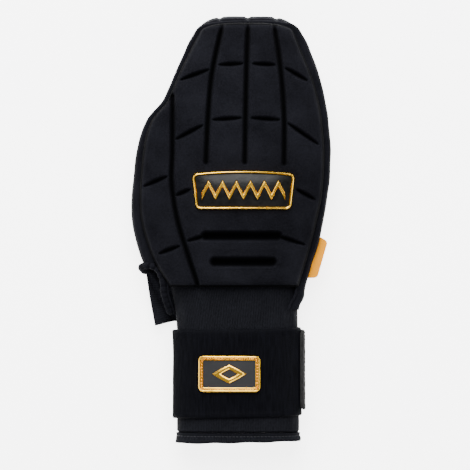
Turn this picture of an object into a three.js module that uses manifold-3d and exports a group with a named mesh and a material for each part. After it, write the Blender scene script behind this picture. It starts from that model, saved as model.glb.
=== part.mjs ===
// A padded sliding mitt that lies on its palm side, in millimetres with +Z up.
// +Y points to the fingertips, +X to the little finger, and the back of the hand is on top.
import * as THREE from "three";
import { mergeVertices } from "three/addons/utils/BufferGeometryUtils.js";
import Module from "manifold-3d";

const wasm = await Module();
wasm.setup();

// Driving sizes of the padded hand part
const PAD_LENGTH = 194;
const PAD_WIDTH = 136;
const BACK_THICKNESS = 9;
const BACK_CROWN = 3.5;
const BACK_EDGE = 5;
const CROWN_POWER = 2.2;
const SHOULDER_RADIUS = 2.6;
const PALM_THICKNESS = 9;
const PALM_EDGE_RISE = 3;
const PALM_EDGE_STEP = 1;
const PALM_FLAT_SHARE = 0.7;
const PALM_REACH = 1.5;
const SIDE_HEIGHT = 24.5;
const GUSSET_WALL = 2.4;
const GUSSET_BULGE = 4.6;
const GUSSET_HALF_TURN = 112;
const GUSSET_TIP_RISE = 2.2;
const LIP_REACH = 4.8;
const LIP_THICKNESS = 3;
const LIP_HEIGHT = 22;
const LIP_RADIUS = 10;
const LIP_EDGE = 1.6;
const TIP_BOW = 3.3;
const TIP_ZONE = 0.85;

// Driving sizes of the sewn grooves and slots
const GROOVE_WIDTH = 3;
const GROOVE_DEPTH = 2.6;
const SLOT_WIDTH = 6.4;
const SLOT_DEPTH = 3.6;
const PALM_GROOVE_WIDTH = 4;
const PALM_GROOVE_DEPTH = 2.4;

// Driving sizes of the cuff, the strap and the fabric at the wrist
const CUFF_WIDTH = 90;
const CUFF_CENTRE = 4;
const CUFF_LENGTH = 115;
const CUFF_WALL = 3;
const CUFF_TUCK = 5;
const CUFF_ROUNDNESS = 2.6;
const HEM_LENGTH = 7.5;
const HEM_PROUD = 0.7;
const STRAP_START = 31;
const STRAP_LENGTH = 65;
const STRAP_THICKNESS = 2.2;
const TAB_THICKNESS = 2.6;
const TAB_START = 5;
const TAB_MARGIN = 4;
const TAB_TOP = 29;
const PANEL_THICKNESS = 1.8;
const PANEL_CURL = 7;
const PANEL_CURL_WIDTH = 14;
const PANEL_LENGTH = 27;
const BINDING_RADIUS = 1.9;

// Driving sizes of the badges and the side tag
const BACK_BADGE_WIDTH = 75;
const BACK_BADGE_HEIGHT = 29;
const BACK_BADGE_TAPER = 2;
const BACK_BADGE_ARCH = 1.6;
const BACK_BADGE_CORNER = 5;
const BACK_BADGE_RIM = 2.8;
const STRAP_BADGE_WIDTH = 46;
const STRAP_BADGE_HEIGHT = 27.5;
const STRAP_BADGE_CORNER = 3.4;
const STRAP_BADGE_RIM = 4;
const STRAP_BADGE_SHIFT = 2;
const PLATE_THICKNESS = 1.5;
const RIM_THICKNESS = 2.4;
const MOTIF_THICKNESS = 0.9;
const ZIGZAG_PEAKS = 6;
const ZIGZAG_HEIGHT = 12;
const ZIGZAG_BAND = 4;
const ZIGZAG_MARGIN = 5.6;
const LOZENGE_WIDTH = 27;
const LOZENGE_HEIGHT = 15;
const LOZENGE_OPENING = 0.45;
const TAG_LENGTH = 31;
const TAG_REACH = 6.5;
const TAG_THICKNESS = 1.2;

// Clearance between pieces that touch
const GAP = 0.3;

// How finely the round forms are divided.
const GROOVE_SIDES = 6;
const LONG_GROOVE_STEPS = 7;
const SHORT_GROOVE_STEPS = 2;
const PALM_GROOVE_STEPS = 14;
const LIP_TURNS = 5;
const GUSSET_STEPS = 46;
const GUSSET_POINTS = 8;
const SLEEVE_TURNS = 15;
const CUFF_STEPS = 5;
const BINDING_STEPS = 24;
const TAG_STEPS = 6;

// The back pad's edge. along is a share of the pad's length from the wrist; the rest are shares
// of half its width from the middle line. palmLeft is the palm pad's own thumb side.
const OUTLINE = [
  { along: -0.06, left: -0.62, right: 0.69, palmLeft: -0.9 },
  { along: 0, left: -0.677, right: 0.72, palmLeft: -0.9 },
  { along: 0.095, left: -0.839, right: 0.801, palmLeft: -0.915 },
  { along: 0.2, left: -0.947, right: 0.884, palmLeft: -0.955 },
  { along: 0.265, left: -0.988, right: 0.926, palmLeft: -0.988 },
  { along: 0.333, left: -1, right: 0.967, palmLeft: -1 },
  { along: 0.42, left: -0.989, right: 0.992, palmLeft: -0.989 },
  { along: 0.508, left: -0.964, right: 1, palmLeft: -0.964 },
  { along: 0.565, left: -0.939, right: 0.992, palmLeft: -0.939 },
  { along: 0.623, left: -0.881, right: 0.975, palmLeft: -0.881 },
  { along: 0.652, left: -0.828, right: 0.968, palmLeft: -0.828 },
  { along: 0.698, left: -0.712, right: 0.942, palmLeft: -0.712 },
  { along: 0.746, left: -0.65, right: 0.91, palmLeft: -0.65 },
  { along: 0.809, left: -0.575, right: 0.854, palmLeft: -0.575 },
  { along: 0.89, left: -0.467, right: 0.761, palmLeft: -0.467 },
  { along: 0.96, left: -0.374, right: 0.688, palmLeft: -0.374 },
  { along: 0.985, left: -0.341, right: 0.66, palmLeft: -0.341 },
  { along: 1, left: -0.31, right: 0.628, palmLeft: -0.31 },
];

// How the back rises and falls along its length, as a share of the side height.
const BACK_LINE = [
  { along: -0.06, lift: 0 },
  { along: 0, lift: 0 },
  { along: 0.3, lift: 0.04 },
  { along: 0.6, lift: 0.01 },
  { along: 0.85, lift: -0.1 },
  { along: 1, lift: -0.24 },
];

// Where a rounded shoulder is divided, as shares of its radius.
const SHOULDER_SHARES = [0, 0.35, 1];

// Where the pads are cut across between their shoulders, as shares of their length.
const INNER_STATIONS = [
  0.06, 0.12, 0.19, 0.26, 0.34, 0.42, 0.5, 0.57, 0.62, 0.655, 0.69, 0.74, 0.81, 0.88, 0.94, 0.975,
];

// Points across the back pad between its shoulders, and across the palm pad, as shares of half its width.
const BACK_ACROSS = [0.78, 0.5, 0.2];
const PALM_ACROSS = [-1, -0.94, -0.8, -0.55, -0.25, 0, 0.25, 0.55, 0.8, 0.94, 1];

// Grooves of the back pad, as routes of shares: across the half width, along the length.
const LONG_GROOVES = [
  { name: "index", route: [[-0.099, 0.988], [-0.21, 0.814], [-0.254, 0.659], [-0.279, 0.47]] },
  { name: "middle", route: [[0.173, 0.995], [0.159, 0.856], [0.146, 0.648], [0.138, 0.47]] },
  { name: "ring", route: [[0.453, 0.988], [0.52, 0.833], [0.561, 0.648], [0.561, 0.466]] },
  {
    name: "thumb",
    route: [[-0.641, 0.722], [-0.64, 0.6], [-0.641, 0.5], [-0.648, 0.391], [-0.591, 0.258],
      [-0.484, 0.13], [-0.372, 0.012]],
  },
];
const SHORT_GROOVES = [
  { name: "first_left", from: [-0.135, 0.838], to: [0.114, 0.842] },
  { name: "first_right", from: [0.227, 0.842], to: [0.461, 0.838] },
  { name: "second_left", from: [-0.201, 0.63], to: [0.097, 0.637] },
  { name: "second_right", from: [0.212, 0.637], to: [0.509, 0.63] },
  { name: "upper_left", from: [-0.55, 0.783], to: [-0.251, 0.82] },
  { name: "upper_right", from: [0.577, 0.826], to: [0.809, 0.78] },
  { name: "middle_left", from: [-0.6, 0.557], to: [-0.317, 0.609] },
  { name: "middle_right", from: [0.602, 0.617], to: [0.926, 0.539] },
  { name: "lower_left", from: [-0.6, 0.345], to: [-0.45, 0.368] },
  { name: "lower_right", from: [0.693, 0.368], to: [0.892, 0.33] },
  { name: "thumb_upper", from: [-0.947, 0.38], to: [-0.698, 0.417] },
  { name: "thumb_lower", from: [-0.782, 0.126], to: [-0.566, 0.155] },
  { name: "tail_left", from: [-0.466, 0.176], to: [-0.32, 0.192] },
  { name: "tail_right", from: [0.54, 0.19], to: [0.774, 0.161] },
];
const WIDE_SLOTS = [
  { name: "upper", from: [-0.347, 0.193], to: [0.552, 0.193] },
  { name: "lower", from: [-0.251, 0.095], to: [0.495, 0.095] },
];
const PALM_GROOVES = [
  { name: "index", route: [[-0.12, 1], [-0.22, 0.8], [-0.28, 0.45]] },
  { name: "middle", route: [[0.17, 1], [0.16, 0.8], [0.14, 0.45]] },
  { name: "ring", route: [[0.46, 1], [0.52, 0.8], [0.56, 0.45]] },
];

// The cuff's sides: along is a share of its length from the pad, left and right of its half width.
const CUFF_SIDES = [
  { along: -0.05, left: -1.1, right: 0.97 },
  { along: 0, left: -1.09, right: 0.97 },
  { along: 0.16, left: -1.02, right: 0.97 },
  { along: 0.34, left: -0.978, right: 0.976 },
  { along: 0.75, left: -0.98, right: 0.985 },
  { along: 1, left: -1, right: 1.02 },
];

// The heel panel: along is a share of its length from the pad, right a share of half the pad's width.
const PANEL_SIDES = [
  { along: 0, left: -0.9, right: 0.62 },
  { along: 0.3, left: -0.878, right: 0.6 },
  { along: 0.55, left: -0.86, right: 0.42 },
  { along: 0.8, left: -0.838, right: 0 },
  { along: 0.94, left: -0.826, right: -0.52 },
  { along: 1, left: -0.82, right: -0.72 },
];

// The binding's route: shares of half the pad's width, of its length, and of the side height.
const BINDING_ROUTE = [
  { across: -0.9, along: 0.062, up: 0.16 },
  { across: -0.975, along: 0.072, up: 0.45 },
  { across: -0.955, along: 0.078, up: 0.78 },
  { across: -0.88, along: 0.08, up: 0.885 },
  { across: -0.81, along: 0.068, up: 0.885 },
  { across: -0.765, along: 0.043, up: 0.885 },
  { across: -0.745, along: 0.012, up: 0.87 },
  { across: -0.74, along: -0.02, up: 0.82 },
  { across: -0.72, along: -0.05, up: 0.72 },
  { across: -0.692, along: -0.08, up: 0.6 },
  { across: -0.668, along: -0.105, up: 0.46 },
];

// Where the side tag's seam runs: shares of the pad's length.
const TAG_ROUTE = [0.034, 0.084, 0.134, 0.174, 0.214];

const halfPad = PAD_WIDTH / 2;
const palmEdgeTop = PALM_THICKNESS - PALM_EDGE_STEP;
const edgeLevel = palmEdgeTop + SIDE_HEIGHT;
const cuffTop = edgeLevel + BACK_CROWN - GAP;
const strapBottom = TAB_THICKNESS + GAP;
const cuffBottom = strapBottom + STRAP_THICKNESS + GAP;
const strapOffset = GAP + STRAP_THICKNESS;
const endStations = SHOULDER_SHARES.map((share) => (share * SHOULDER_RADIUS) / PAD_LENGTH);
const stations = [...endStations, ...INNER_STATIONS, ...endStations.map((along) => 1 - along).reverse()];

const FINISHES = {
  shell_fabric: { color: 0x1a1b1f, roughness: 0.8, metalness: 0 },
  cuff_knit: { color: 0x16161a, roughness: 0.9, metalness: 0 },
  strap_elastic: { color: 0x0a0a0f, roughness: 0.85, metalness: 0 },
  closure_fleece: { color: 0x2d2d2a, roughness: 1, metalness: 0 },
  gold_trim: { color: 0xd9a441, roughness: 0.3, metalness: 0.8 },
  badge_field: { color: 0x18181a, roughness: 0.25, metalness: 0 },
  strap_badge_field: { color: 0x46464a, roughness: 0.6, metalness: 0 },
  tag_fabric: { color: 0xe1a555, roughness: 0.7, metalness: 0 },
};

// A smooth function through the rows of a table: one value for each named column.
function through(rows, columns) {
  const spots = rows.map((row) => row.along);
  const values = rows.flatMap((row) => columns.map((column) => row[column]));
  const curve = new THREE.CubicInterpolant(spots, values, columns.length);
  return (along) => {
    const found = curve.evaluate(along);
    return Object.fromEntries(columns.map((column, i) => [column, found[i]]));
  };
}

const outlineAt = through(OUTLINE, ["left", "right", "palmLeft"]);
const liftAt = through(BACK_LINE, ["lift"]);
const cuffAt = through(CUFF_SIDES, ["left", "right"]);
const panelAt = through(PANEL_SIDES, ["left", "right"]);

function solidOf(geometry) {
  const bare = geometry.clone();
  bare.deleteAttribute("normal");
  bare.deleteAttribute("uv");
  const merged = mergeVertices(bare, 1e-4);
  const mesh = {
    numProp: 3,
    vertProperties: new Float32Array(merged.attributes.position.array),
    triVerts: new Uint32Array(merged.index.array),
  };
  const made = new wasm.Manifold(new wasm.Mesh(mesh));
  if (made.volume() > 0) return made;
  mesh.triVerts.reverse();
  return new wasm.Manifold(new wasm.Mesh(mesh));
}

function geometryOf(solid) {
  const mesh = solid.getMesh();
  const geometry = new THREE.BufferGeometry();
  geometry.setAttribute("position", new THREE.BufferAttribute(mesh.vertProperties, 3));
  geometry.setIndex(new THREE.BufferAttribute(mesh.triVerts, 1));
  geometry.computeVertexNormals();
  return geometry;
}

// The closed body between two grids of points with the same rows and columns.
function slab(upper, lower) {
  const rows = upper.length;
  const columns = upper[0].length;
  const points = [...upper.flat(), ...lower.flat()];
  const under = rows * columns;
  const at = (i, j) => i * columns + j;
  const faces = [];
  const quad = (a, b, c, d) => faces.push(a, b, c, a, c, d);
  for (let i = 0; i + 1 < rows; i += 1) {
    for (let j = 0; j + 1 < columns; j += 1) {
      quad(at(i, j), at(i, j + 1), at(i + 1, j + 1), at(i + 1, j));
      quad(under + at(i, j), under + at(i + 1, j), under + at(i + 1, j + 1), under + at(i, j + 1));
    }
    const last = columns - 1;
    quad(at(i, 0), at(i + 1, 0), under + at(i + 1, 0), under + at(i, 0));
    quad(at(i, last), under + at(i, last), under + at(i + 1, last), at(i + 1, last));
  }
  for (let j = 0; j + 1 < columns; j += 1) {
    const end = rows - 1;
    quad(at(0, j), under + at(0, j), under + at(0, j + 1), at(0, j + 1));
    quad(at(end, j), at(end, j + 1), under + at(end, j + 1), under + at(end, j));
  }
  const geometry = new THREE.BufferGeometry().setFromPoints(points);
  geometry.setIndex(faces);
  return solidOf(geometry);
}

// A prism that stands on a plan outline, from one height to another.
function prism(shape, low, high) {
  const options = { depth: high - low, bevelEnabled: false, curveSegments: 6 };
  const geometry = new THREE.ExtrudeGeometry(shape, options);
  geometry.translate(0, 0, low);
  return solidOf(geometry);
}

function block(low, high) {
  const size = high.clone().sub(low);
  const middle = low.clone().add(high).multiplyScalar(0.5);
  const box = new THREE.BoxGeometry(size.x, size.y, size.z);
  return solidOf(box.translate(middle.x, middle.y, middle.z));
}

// A round bar along a smooth curve through the given points.
function bar(points, radius, steps, sides = 8) {
  const circle = new THREE.Path().absarc(0, 0, radius, 0, 2 * Math.PI);
  const ring = new THREE.Shape(circle.getSpacedPoints(sides).slice(0, sides));
  const extrudePath = new THREE.CatmullRomCurve3(points);
  return solidOf(new THREE.ExtrudeGeometry(ring, { steps, extrudePath, bevelEnabled: false }));
}

// The plan place of a share across and a share along the pad, its fingertip edge gently bowed.
function planPoint(across, along, leftColumn = "left") {
  const edge = outlineAt(along);
  const middle = (edge.right + edge[leftColumn]) / 2;
  const half = (edge.right - edge[leftColumn]) / 2;
  const nearTip = Math.max(0, (along - TIP_ZONE) / (1 - TIP_ZONE));
  const bow = TIP_BOW * across ** 4 * nearTip ** 2;
  return new THREE.Vector3((middle + half * across) * halfPad, along * PAD_LENGTH - bow, 0);
}

// The height of the back pad's underside edge.
function edgeHeight(along) {
  return edgeLevel + liftAt(along).lift * SIDE_HEIGHT;
}

const crown = (across) => 1 - Math.abs(across) ** CROWN_POWER;
const roundover = (distance) => Math.sqrt(1 - (1 - Math.min(distance / SHOULDER_RADIUS, 1)) ** 2);

// The back pad's top over a plan place: across is the share of its half width there.
function backTop(across, along, halfWidth) {
  const fromSide = (1 - Math.abs(across)) * halfWidth;
  const fromEnd = Math.min(along, 1 - along) * PAD_LENGTH;
  const shoulder = BACK_EDGE - SHOULDER_RADIUS + SHOULDER_RADIUS * roundover(Math.min(fromSide, fromEnd));
  const body = BACK_THICKNESS - BACK_EDGE + BACK_CROWN;
  return edgeHeight(along) + shoulder + body * crown(across);
}

function halfWidthAt(along) {
  const edge = outlineAt(along);
  return ((edge.right - edge.left) / 2) * halfPad;
}

// The height of the back pad's top at a share of half the pad's width and a share of its length.
function backSurface(x, along) {
  const edge = outlineAt(along);
  const across = (x - (edge.right + edge.left) / 2) / ((edge.right - edge.left) / 2);
  return backTop(THREE.MathUtils.clamp(across, -1, 1), along, halfWidthAt(along));
}

// Shares across the pad at one station, from the thumb side to the little-finger side.
function acrossShares(halfWidth) {
  const shoulder = SHOULDER_SHARES.map((share) => 1 - (share * SHOULDER_RADIUS) / halfWidth);
  const right = [...shoulder, ...BACK_ACROSS];
  return [...right.map((share) => -share), 0, ...right.reverse()];
}

// The back pad's body with its top raised by lift.
function backBody(lift) {
  const upper = [];
  const lower = [];
  for (const along of stations) {
    const halfWidth = halfWidthAt(along);
    const shares = acrossShares(halfWidth);
    const top = (across) => backTop(across, along, halfWidth) + lift;
    const underside = (across) => edgeHeight(along) + BACK_CROWN * crown(across);
    upper.push(shares.map((across) => planPoint(across, along).setZ(top(across))));
    lower.push(shares.map((across) => planPoint(across, along).setZ(underside(across))));
  }
  return slab(upper, lower);
}

// A groove cutter that follows the back pad's top along a route of shares.
function grooveCutter(route, steps) {
  const radius = GROOVE_WIDTH / 2;
  const sink = GROOVE_DEPTH - radius;
  const points = route.map(([x, along]) =>
    new THREE.Vector3(x * halfPad, along * PAD_LENGTH, backSurface(x, along) - sink));
  return bar(points, radius, steps, GROOVE_SIDES);
}

function slotCutter(slot) {
  const [x0, along] = slot.from;
  const x1 = slot.to[0];
  const radius = SLOT_WIDTH / 2;
  const y = along * PAD_LENGTH;
  const shape = new THREE.Shape();
  shape.absarc(x1 * halfPad - radius, y, radius, -Math.PI / 2, Math.PI / 2);
  shape.absarc(x0 * halfPad + radius, y, radius, Math.PI / 2, (3 * Math.PI) / 2);
  const top = backSurface((x0 + x1) / 2, along);
  return prism(shape, top - SLOT_DEPTH, top + BACK_THICKNESS);
}

function backPad() {
  let body = backBody(0);
  for (const groove of LONG_GROOVES) {
    body = body.subtract(grooveCutter(groove.route, LONG_GROOVE_STEPS));
  }
  for (const groove of SHORT_GROOVES) {
    body = body.subtract(grooveCutter([groove.from, groove.to], SHORT_GROOVE_STEPS));
  }
  for (const slot of WIDE_SLOTS) body = body.subtract(slotCutter(slot));
  return body;
}

// The palm pad's section line: flat on the ground, then turned up round the fingertips.
function palmLine() {
  const reach = PAD_LENGTH + LIP_REACH;
  const bend = reach - LIP_RADIUS;
  const line = [];
  for (const along of stations.filter((share) => share * PAD_LENGTH < bend - LIP_EDGE)) {
    line.push({ along, y: along * PAD_LENGTH, z: 0, turn: 0, thickness: PALM_THICKNESS });
  }
  for (let i = 0; i <= LIP_TURNS; i += 1) {
    const turn = (i / LIP_TURNS) * (Math.PI / 2);
    const y = bend + LIP_RADIUS * Math.sin(turn);
    const z = LIP_RADIUS - LIP_RADIUS * Math.cos(turn);
    const thickness = THREE.MathUtils.lerp(PALM_THICKNESS, LIP_THICKNESS, i / LIP_TURNS);
    line.push({ along: Math.min(y / PAD_LENGTH, 1), y, z, turn, thickness });
  }
  const up = { along: 1, turn: Math.PI / 2 };
  line.push({ ...up, y: reach, z: LIP_HEIGHT - LIP_EDGE, thickness: LIP_THICKNESS });
  line.push({ ...up, y: reach - LIP_EDGE / 2, z: LIP_HEIGHT, thickness: LIP_THICKNESS - LIP_EDGE });
  return line;
}

function palmPoint(stop, across, depth) {
  const place = planPoint(across, stop.along, "palmLeft");
  const bow = stop.along * PAD_LENGTH - place.y;
  const outward = PALM_REACH * across;
  return new THREE.Vector3(
    place.x + outward,
    stop.y - bow - depth * Math.sin(stop.turn),
    stop.z + depth * Math.cos(stop.turn),
  );
}

function palmPad() {
  const edgeRise = (across) =>
    Math.max(0, (Math.abs(across) - PALM_FLAT_SHARE) / (1 - PALM_FLAT_SHARE)) ** 2;
  const upper = [];
  const lower = [];
  for (const stop of palmLine()) {
    const slim = stop.thickness / PALM_THICKNESS;
    const under = (across) => PALM_EDGE_RISE * slim * edgeRise(across);
    const over = (across) => stop.thickness - PALM_EDGE_STEP * slim * Math.abs(across) ** 4;
    upper.push(PALM_ACROSS.map((across) => palmPoint(stop, across, over(across))));
    lower.push(PALM_ACROSS.map((across) => palmPoint(stop, across, under(across))));
  }
  let body = slab(upper, lower);
  for (const groove of PALM_GROOVES) body = body.subtract(palmCutter(groove));
  return body;
}

// A groove cutter along the palm pad's outside, up its turned front.
function palmCutter(groove) {
  const radius = PALM_GROOVE_WIDTH / 2;
  const sink = PALM_GROOVE_DEPTH - radius;
  const line = palmLine();
  const route = [...groove.route].reverse();
  const plan = new THREE.CubicInterpolant(
    route.map(([, along]) => along),
    route.map(([x]) => x),
    1,
  );
  const first = route[0][1];
  const stops = line.filter((stop) => stop.along >= first && stop.z <= LIP_RADIUS);
  const points = stops.map((stop) => {
    const x = plan.evaluate(stop.along)[0] * halfPad;
    return new THREE.Vector3(x, stop.y - sink * Math.sin(stop.turn), stop.z + sink * Math.cos(stop.turn));
  });
  const last = points[points.length - 1];
  points.push(new THREE.Vector3(last.x, last.y, LIP_HEIGHT + radius));
  return bar(points, radius, PALM_GROOVE_STEPS, GROOVE_SIDES);
}

// The seam line round the hand, from the thumb side of the wrist to the little-finger side.
function seamLine() {
  const line = [];
  const bindingEnd = Math.max(...BINDING_ROUTE.map((stop) => stop.along));
  const start = bindingEnd + (BINDING_RADIUS + 2 * GAP) / PAD_LENGTH;
  for (let along = start; along < 0.99; along += 0.035) line.push({ across: -1, along });
  for (const across of [-1, -0.8, -0.4, 0, 0.4, 0.8, 1]) line.push({ across, along: 1 });
  for (let along = 0.97; along > -0.045; along -= 0.035) line.push({ across: 1, along });
  return line;
}

function gussetSections() {
  const line = seamLine();
  const points = line.map((stop) => planPoint(stop.across, stop.along));
  const curve = new THREE.CatmullRomCurve3(points, false, "centripetal");
  return curve.getSpacedPoints(GUSSET_STEPS).map((place, i) => {
    const tangent = curve.getTangentAt(i / GUSSET_STEPS);
    const along = THREE.MathUtils.clamp(place.y / PAD_LENGTH, BACK_LINE[0].along, 1);
    const tip = THREE.MathUtils.smoothstep(along, 0.9, 1);
    const bulge = THREE.MathUtils.lerp(GUSSET_BULGE, LIP_REACH - LIP_THICKNESS - 2 * GAP, tip);
    const low = palmEdgeTop + GAP + tip * GUSSET_TIP_RISE;
    const high = edgeHeight(along) - GAP;
    return { place, outward: new THREE.Vector3(-tangent.y, tangent.x, 0), bulge, low, high };
  });
}

function gussetPoint(section, angle, inward) {
  const middle = (section.low + section.high) / 2;
  const half = (section.high - section.low) / 2 - inward;
  const out = (section.bulge - inward) * Math.cos(angle);
  return section.place.clone().addScaledVector(section.outward, out).setZ(middle + half * Math.sin(angle));
}

function sideGusset() {
  const turn = THREE.MathUtils.degToRad(GUSSET_HALF_TURN);
  const angles = Array.from({ length: GUSSET_POINTS }, (_, i) => turn * (1 - (2 * i) / (GUSSET_POINTS - 1)));
  const sections = gussetSections();
  const outer = sections.map((section) => angles.map((angle) => gussetPoint(section, angle, 0)));
  const inner = sections.map((section) => angles.map((angle) => gussetPoint(section, angle, GUSSET_WALL)));
  return slab(outer, inner).subtract(thumbBinding(BINDING_RADIUS + GAP));
}

// A filled sleeve round the wrist that stands outside the cuff's own surface by offset.
function sleeve(offset, from, to, steps = 2) {
  const middle = (cuffTop + cuffBottom) / 2;
  const half = (cuffTop - cuffBottom) / 2 + offset;
  const bent = (value) => Math.sign(value) * Math.abs(value) ** (2 / CUFF_ROUNDNESS);
  const upper = [];
  const lower = [];
  for (let i = 0; i <= steps; i += 1) {
    const distance = THREE.MathUtils.lerp(from, to, i / steps);
    const side = cuffAt(THREE.MathUtils.clamp(distance / CUFF_LENGTH, CUFF_SIDES[0].along, 1));
    const centre = CUFF_CENTRE + ((side.left + side.right) / 4) * CUFF_WIDTH;
    const reach = ((side.right - side.left) / 4) * CUFF_WIDTH + offset;
    const row = (sign) =>
      Array.from({ length: SLEEVE_TURNS }, (_, j) => {
        const angle = ((j + 0.5) / SLEEVE_TURNS) * Math.PI;
        return new THREE.Vector3(
          centre - reach * bent(Math.cos(angle)),
          -distance,
          middle + sign * half * bent(Math.sin(angle)),
        );
      });
    upper.push(row(1));
    lower.push(row(-1));
  }
  return slab(upper, lower);
}

function cuff() {
  const end = CUFF_LENGTH - HEM_LENGTH - GAP;
  const outside = sleeve(0, -CUFF_TUCK, end, CUFF_STEPS);
  const hollow = sleeve(-CUFF_WALL, -CUFF_TUCK - CUFF_WALL, end + CUFF_WALL, CUFF_STEPS);
  const palmSide = block(
    new THREE.Vector3(-PAD_WIDTH, -GAP, -PALM_THICKNESS),
    new THREE.Vector3(PAD_WIDTH, 2 * CUFF_TUCK, (cuffTop + cuffBottom) / 2),
  );
  return outside.subtract(hollow).subtract(palmSide);
}

function cuffHem() {
  const start = CUFF_LENGTH - HEM_LENGTH;
  const fold = (offset, inset) => sleeve(offset, start + inset, CUFF_LENGTH - inset, 1);
  const outside = fold(HEM_PROUD, HEM_PROUD).add(fold(0, 0));
  const hollow = sleeve(-CUFF_WALL - HEM_PROUD, start - CUFF_WALL, CUFF_LENGTH + CUFF_WALL, 1);
  return outside.subtract(hollow);
}

function wristStrap() {
  const end = STRAP_START + STRAP_LENGTH;
  const hollow = sleeve(GAP, STRAP_START - STRAP_THICKNESS, end + STRAP_THICKNESS);
  return sleeve(strapOffset, STRAP_START, end).subtract(hollow);
}

function closureTab() {
  const from = STRAP_START + TAB_MARGIN / 2;
  const to = STRAP_START + STRAP_LENGTH - TAB_MARGIN;
  const inner = strapOffset + GAP;
  const hollow = sleeve(inner, from - TAB_THICKNESS, to + TAB_THICKNESS);
  const band = sleeve(inner + TAB_THICKNESS, from, to).subtract(hollow);
  const wanted = block(
    new THREE.Vector3(TAB_START, -CUFF_LENGTH, -STRAP_THICKNESS),
    new THREE.Vector3(PAD_WIDTH, 0, TAB_TOP),
  );
  return band.intersect(wanted);
}

function heelPanel() {
  const upper = [];
  const lower = [];
  const shares = [0, 0.06, 0.13, 0.22, 0.4, 0.7, 1];
  const top = cuffBottom - GAP;
  for (const row of PANEL_SIDES) {
    const side = panelAt(row.along);
    const y = -GAP - row.along * (PANEL_LENGTH - GAP);
    const points = shares.map((share) => {
      const x = THREE.MathUtils.lerp(side.left, side.right, share) * halfPad;
      const outside = Math.max(0, CUFF_CENTRE - CUFF_WIDTH / 2 - CUFF_TUCK - x) / PANEL_CURL_WIDTH;
      return new THREE.Vector3(x, y, top + PANEL_CURL * Math.min(outside, 1) ** 1.5);
    });
    upper.push(points);
    lower.push(points.map((point) => point.clone().setZ(point.z - PANEL_THICKNESS)));
  }
  return slab(upper, lower);
}

function thumbBinding(radius) {
  const points = BINDING_ROUTE.map((stop) =>
    new THREE.Vector3(stop.across * halfPad, stop.along * PAD_LENGTH, palmEdgeTop + stop.up * SIDE_HEIGHT));
  return bar(points, radius, BINDING_STEPS);
}

// A rounded four-sided outline whose top edge is arched and wider than its bottom edge.
function badgeOutline(centre, width, height, corner, taper, arch, inset) {
  const top = width / 2 - inset;
  const bottom = width / 2 - taper - inset;
  const rise = height / 2 - inset;
  const radius = Math.max(corner - inset, 0.2 * corner);
  const [x, low, high] = [centre.x, centre.y - rise, centre.y + rise - arch];
  const shape = new THREE.Shape();
  shape.moveTo(x - bottom + radius, low);
  shape.lineTo(x + bottom - radius, low);
  shape.quadraticCurveTo(x + bottom, low, x + bottom, low + radius);
  shape.lineTo(x + top, high - radius);
  shape.quadraticCurveTo(x + top, high, x + top - radius, high);
  shape.quadraticCurveTo(x, high + 2 * arch, x - top + radius, high);
  shape.quadraticCurveTo(x - top, high, x - top, high - radius);
  shape.lineTo(x - bottom, low + radius);
  shape.quadraticCurveTo(x - bottom, low, x - bottom + radius, low);
  return shape;
}

const BACK_BADGE_PLACE = new THREE.Vector2(0.123 * halfPad, 0.366 * PAD_LENGTH);
const STRAP_BADGE_PLACE = new THREE.Vector2(-STRAP_BADGE_SHIFT, -(STRAP_START + 0.5 * STRAP_LENGTH));

function backBadgeShape(inset) {
  return badgeOutline(BACK_BADGE_PLACE, BACK_BADGE_WIDTH, BACK_BADGE_HEIGHT, BACK_BADGE_CORNER,
    BACK_BADGE_TAPER, BACK_BADGE_ARCH, inset);
}

function strapBadgeShape(inset) {
  return badgeOutline(STRAP_BADGE_PLACE, STRAP_BADGE_WIDTH, STRAP_BADGE_HEIGHT, STRAP_BADGE_CORNER,
    0, 0, inset);
}

// A plan outline between two heights above the back pad's top.
function onBack(shape, low, high) {
  const level = backSurface(BACK_BADGE_PLACE.x / halfPad, BACK_BADGE_PLACE.y / PAD_LENGTH);
  return prism(shape, level - BACK_THICKNESS / 2, level + BACK_THICKNESS + high)
    .intersect(backBody(high))
    .subtract(backBody(low));
}

// A plan outline between two heights above the strap.
function onStrap(shape, low, high) {
  const from = STRAP_START;
  const to = STRAP_START + STRAP_LENGTH;
  const middle = (cuffTop + cuffBottom) / 2;
  return prism(shape, middle, cuffTop + 3 * strapOffset + high)
    .intersect(sleeve(strapOffset + high, from, to, 1))
    .subtract(sleeve(strapOffset + low, from - STRAP_THICKNESS, to + STRAP_THICKNESS, 1));
}

function rimShape(shapeAt, width) {
  const shape = shapeAt(0);
  shape.holes.push(shapeAt(width));
  return shape;
}

// A slanted zigzag band, one outline from end to end.
function zigzagShape() {
  const length = BACK_BADGE_WIDTH - 2 * (BACK_BADGE_RIM + ZIGZAG_MARGIN);
  const step = length / (2 * ZIGZAG_PEAKS);
  const over = [];
  const under = [];
  for (let i = 0; i <= 2 * ZIGZAG_PEAKS; i += 1) {
    const x = BACK_BADGE_PLACE.x - length / 2 + i * step;
    const y = BACK_BADGE_PLACE.y + (i % 2 ? 0.5 : -0.5) * (ZIGZAG_HEIGHT - ZIGZAG_BAND);
    over.push(new THREE.Vector2(x, y + ZIGZAG_BAND / 2));
    under.unshift(new THREE.Vector2(x, y - ZIGZAG_BAND / 2));
  }
  return new THREE.Shape([...over, ...under]);
}

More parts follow.
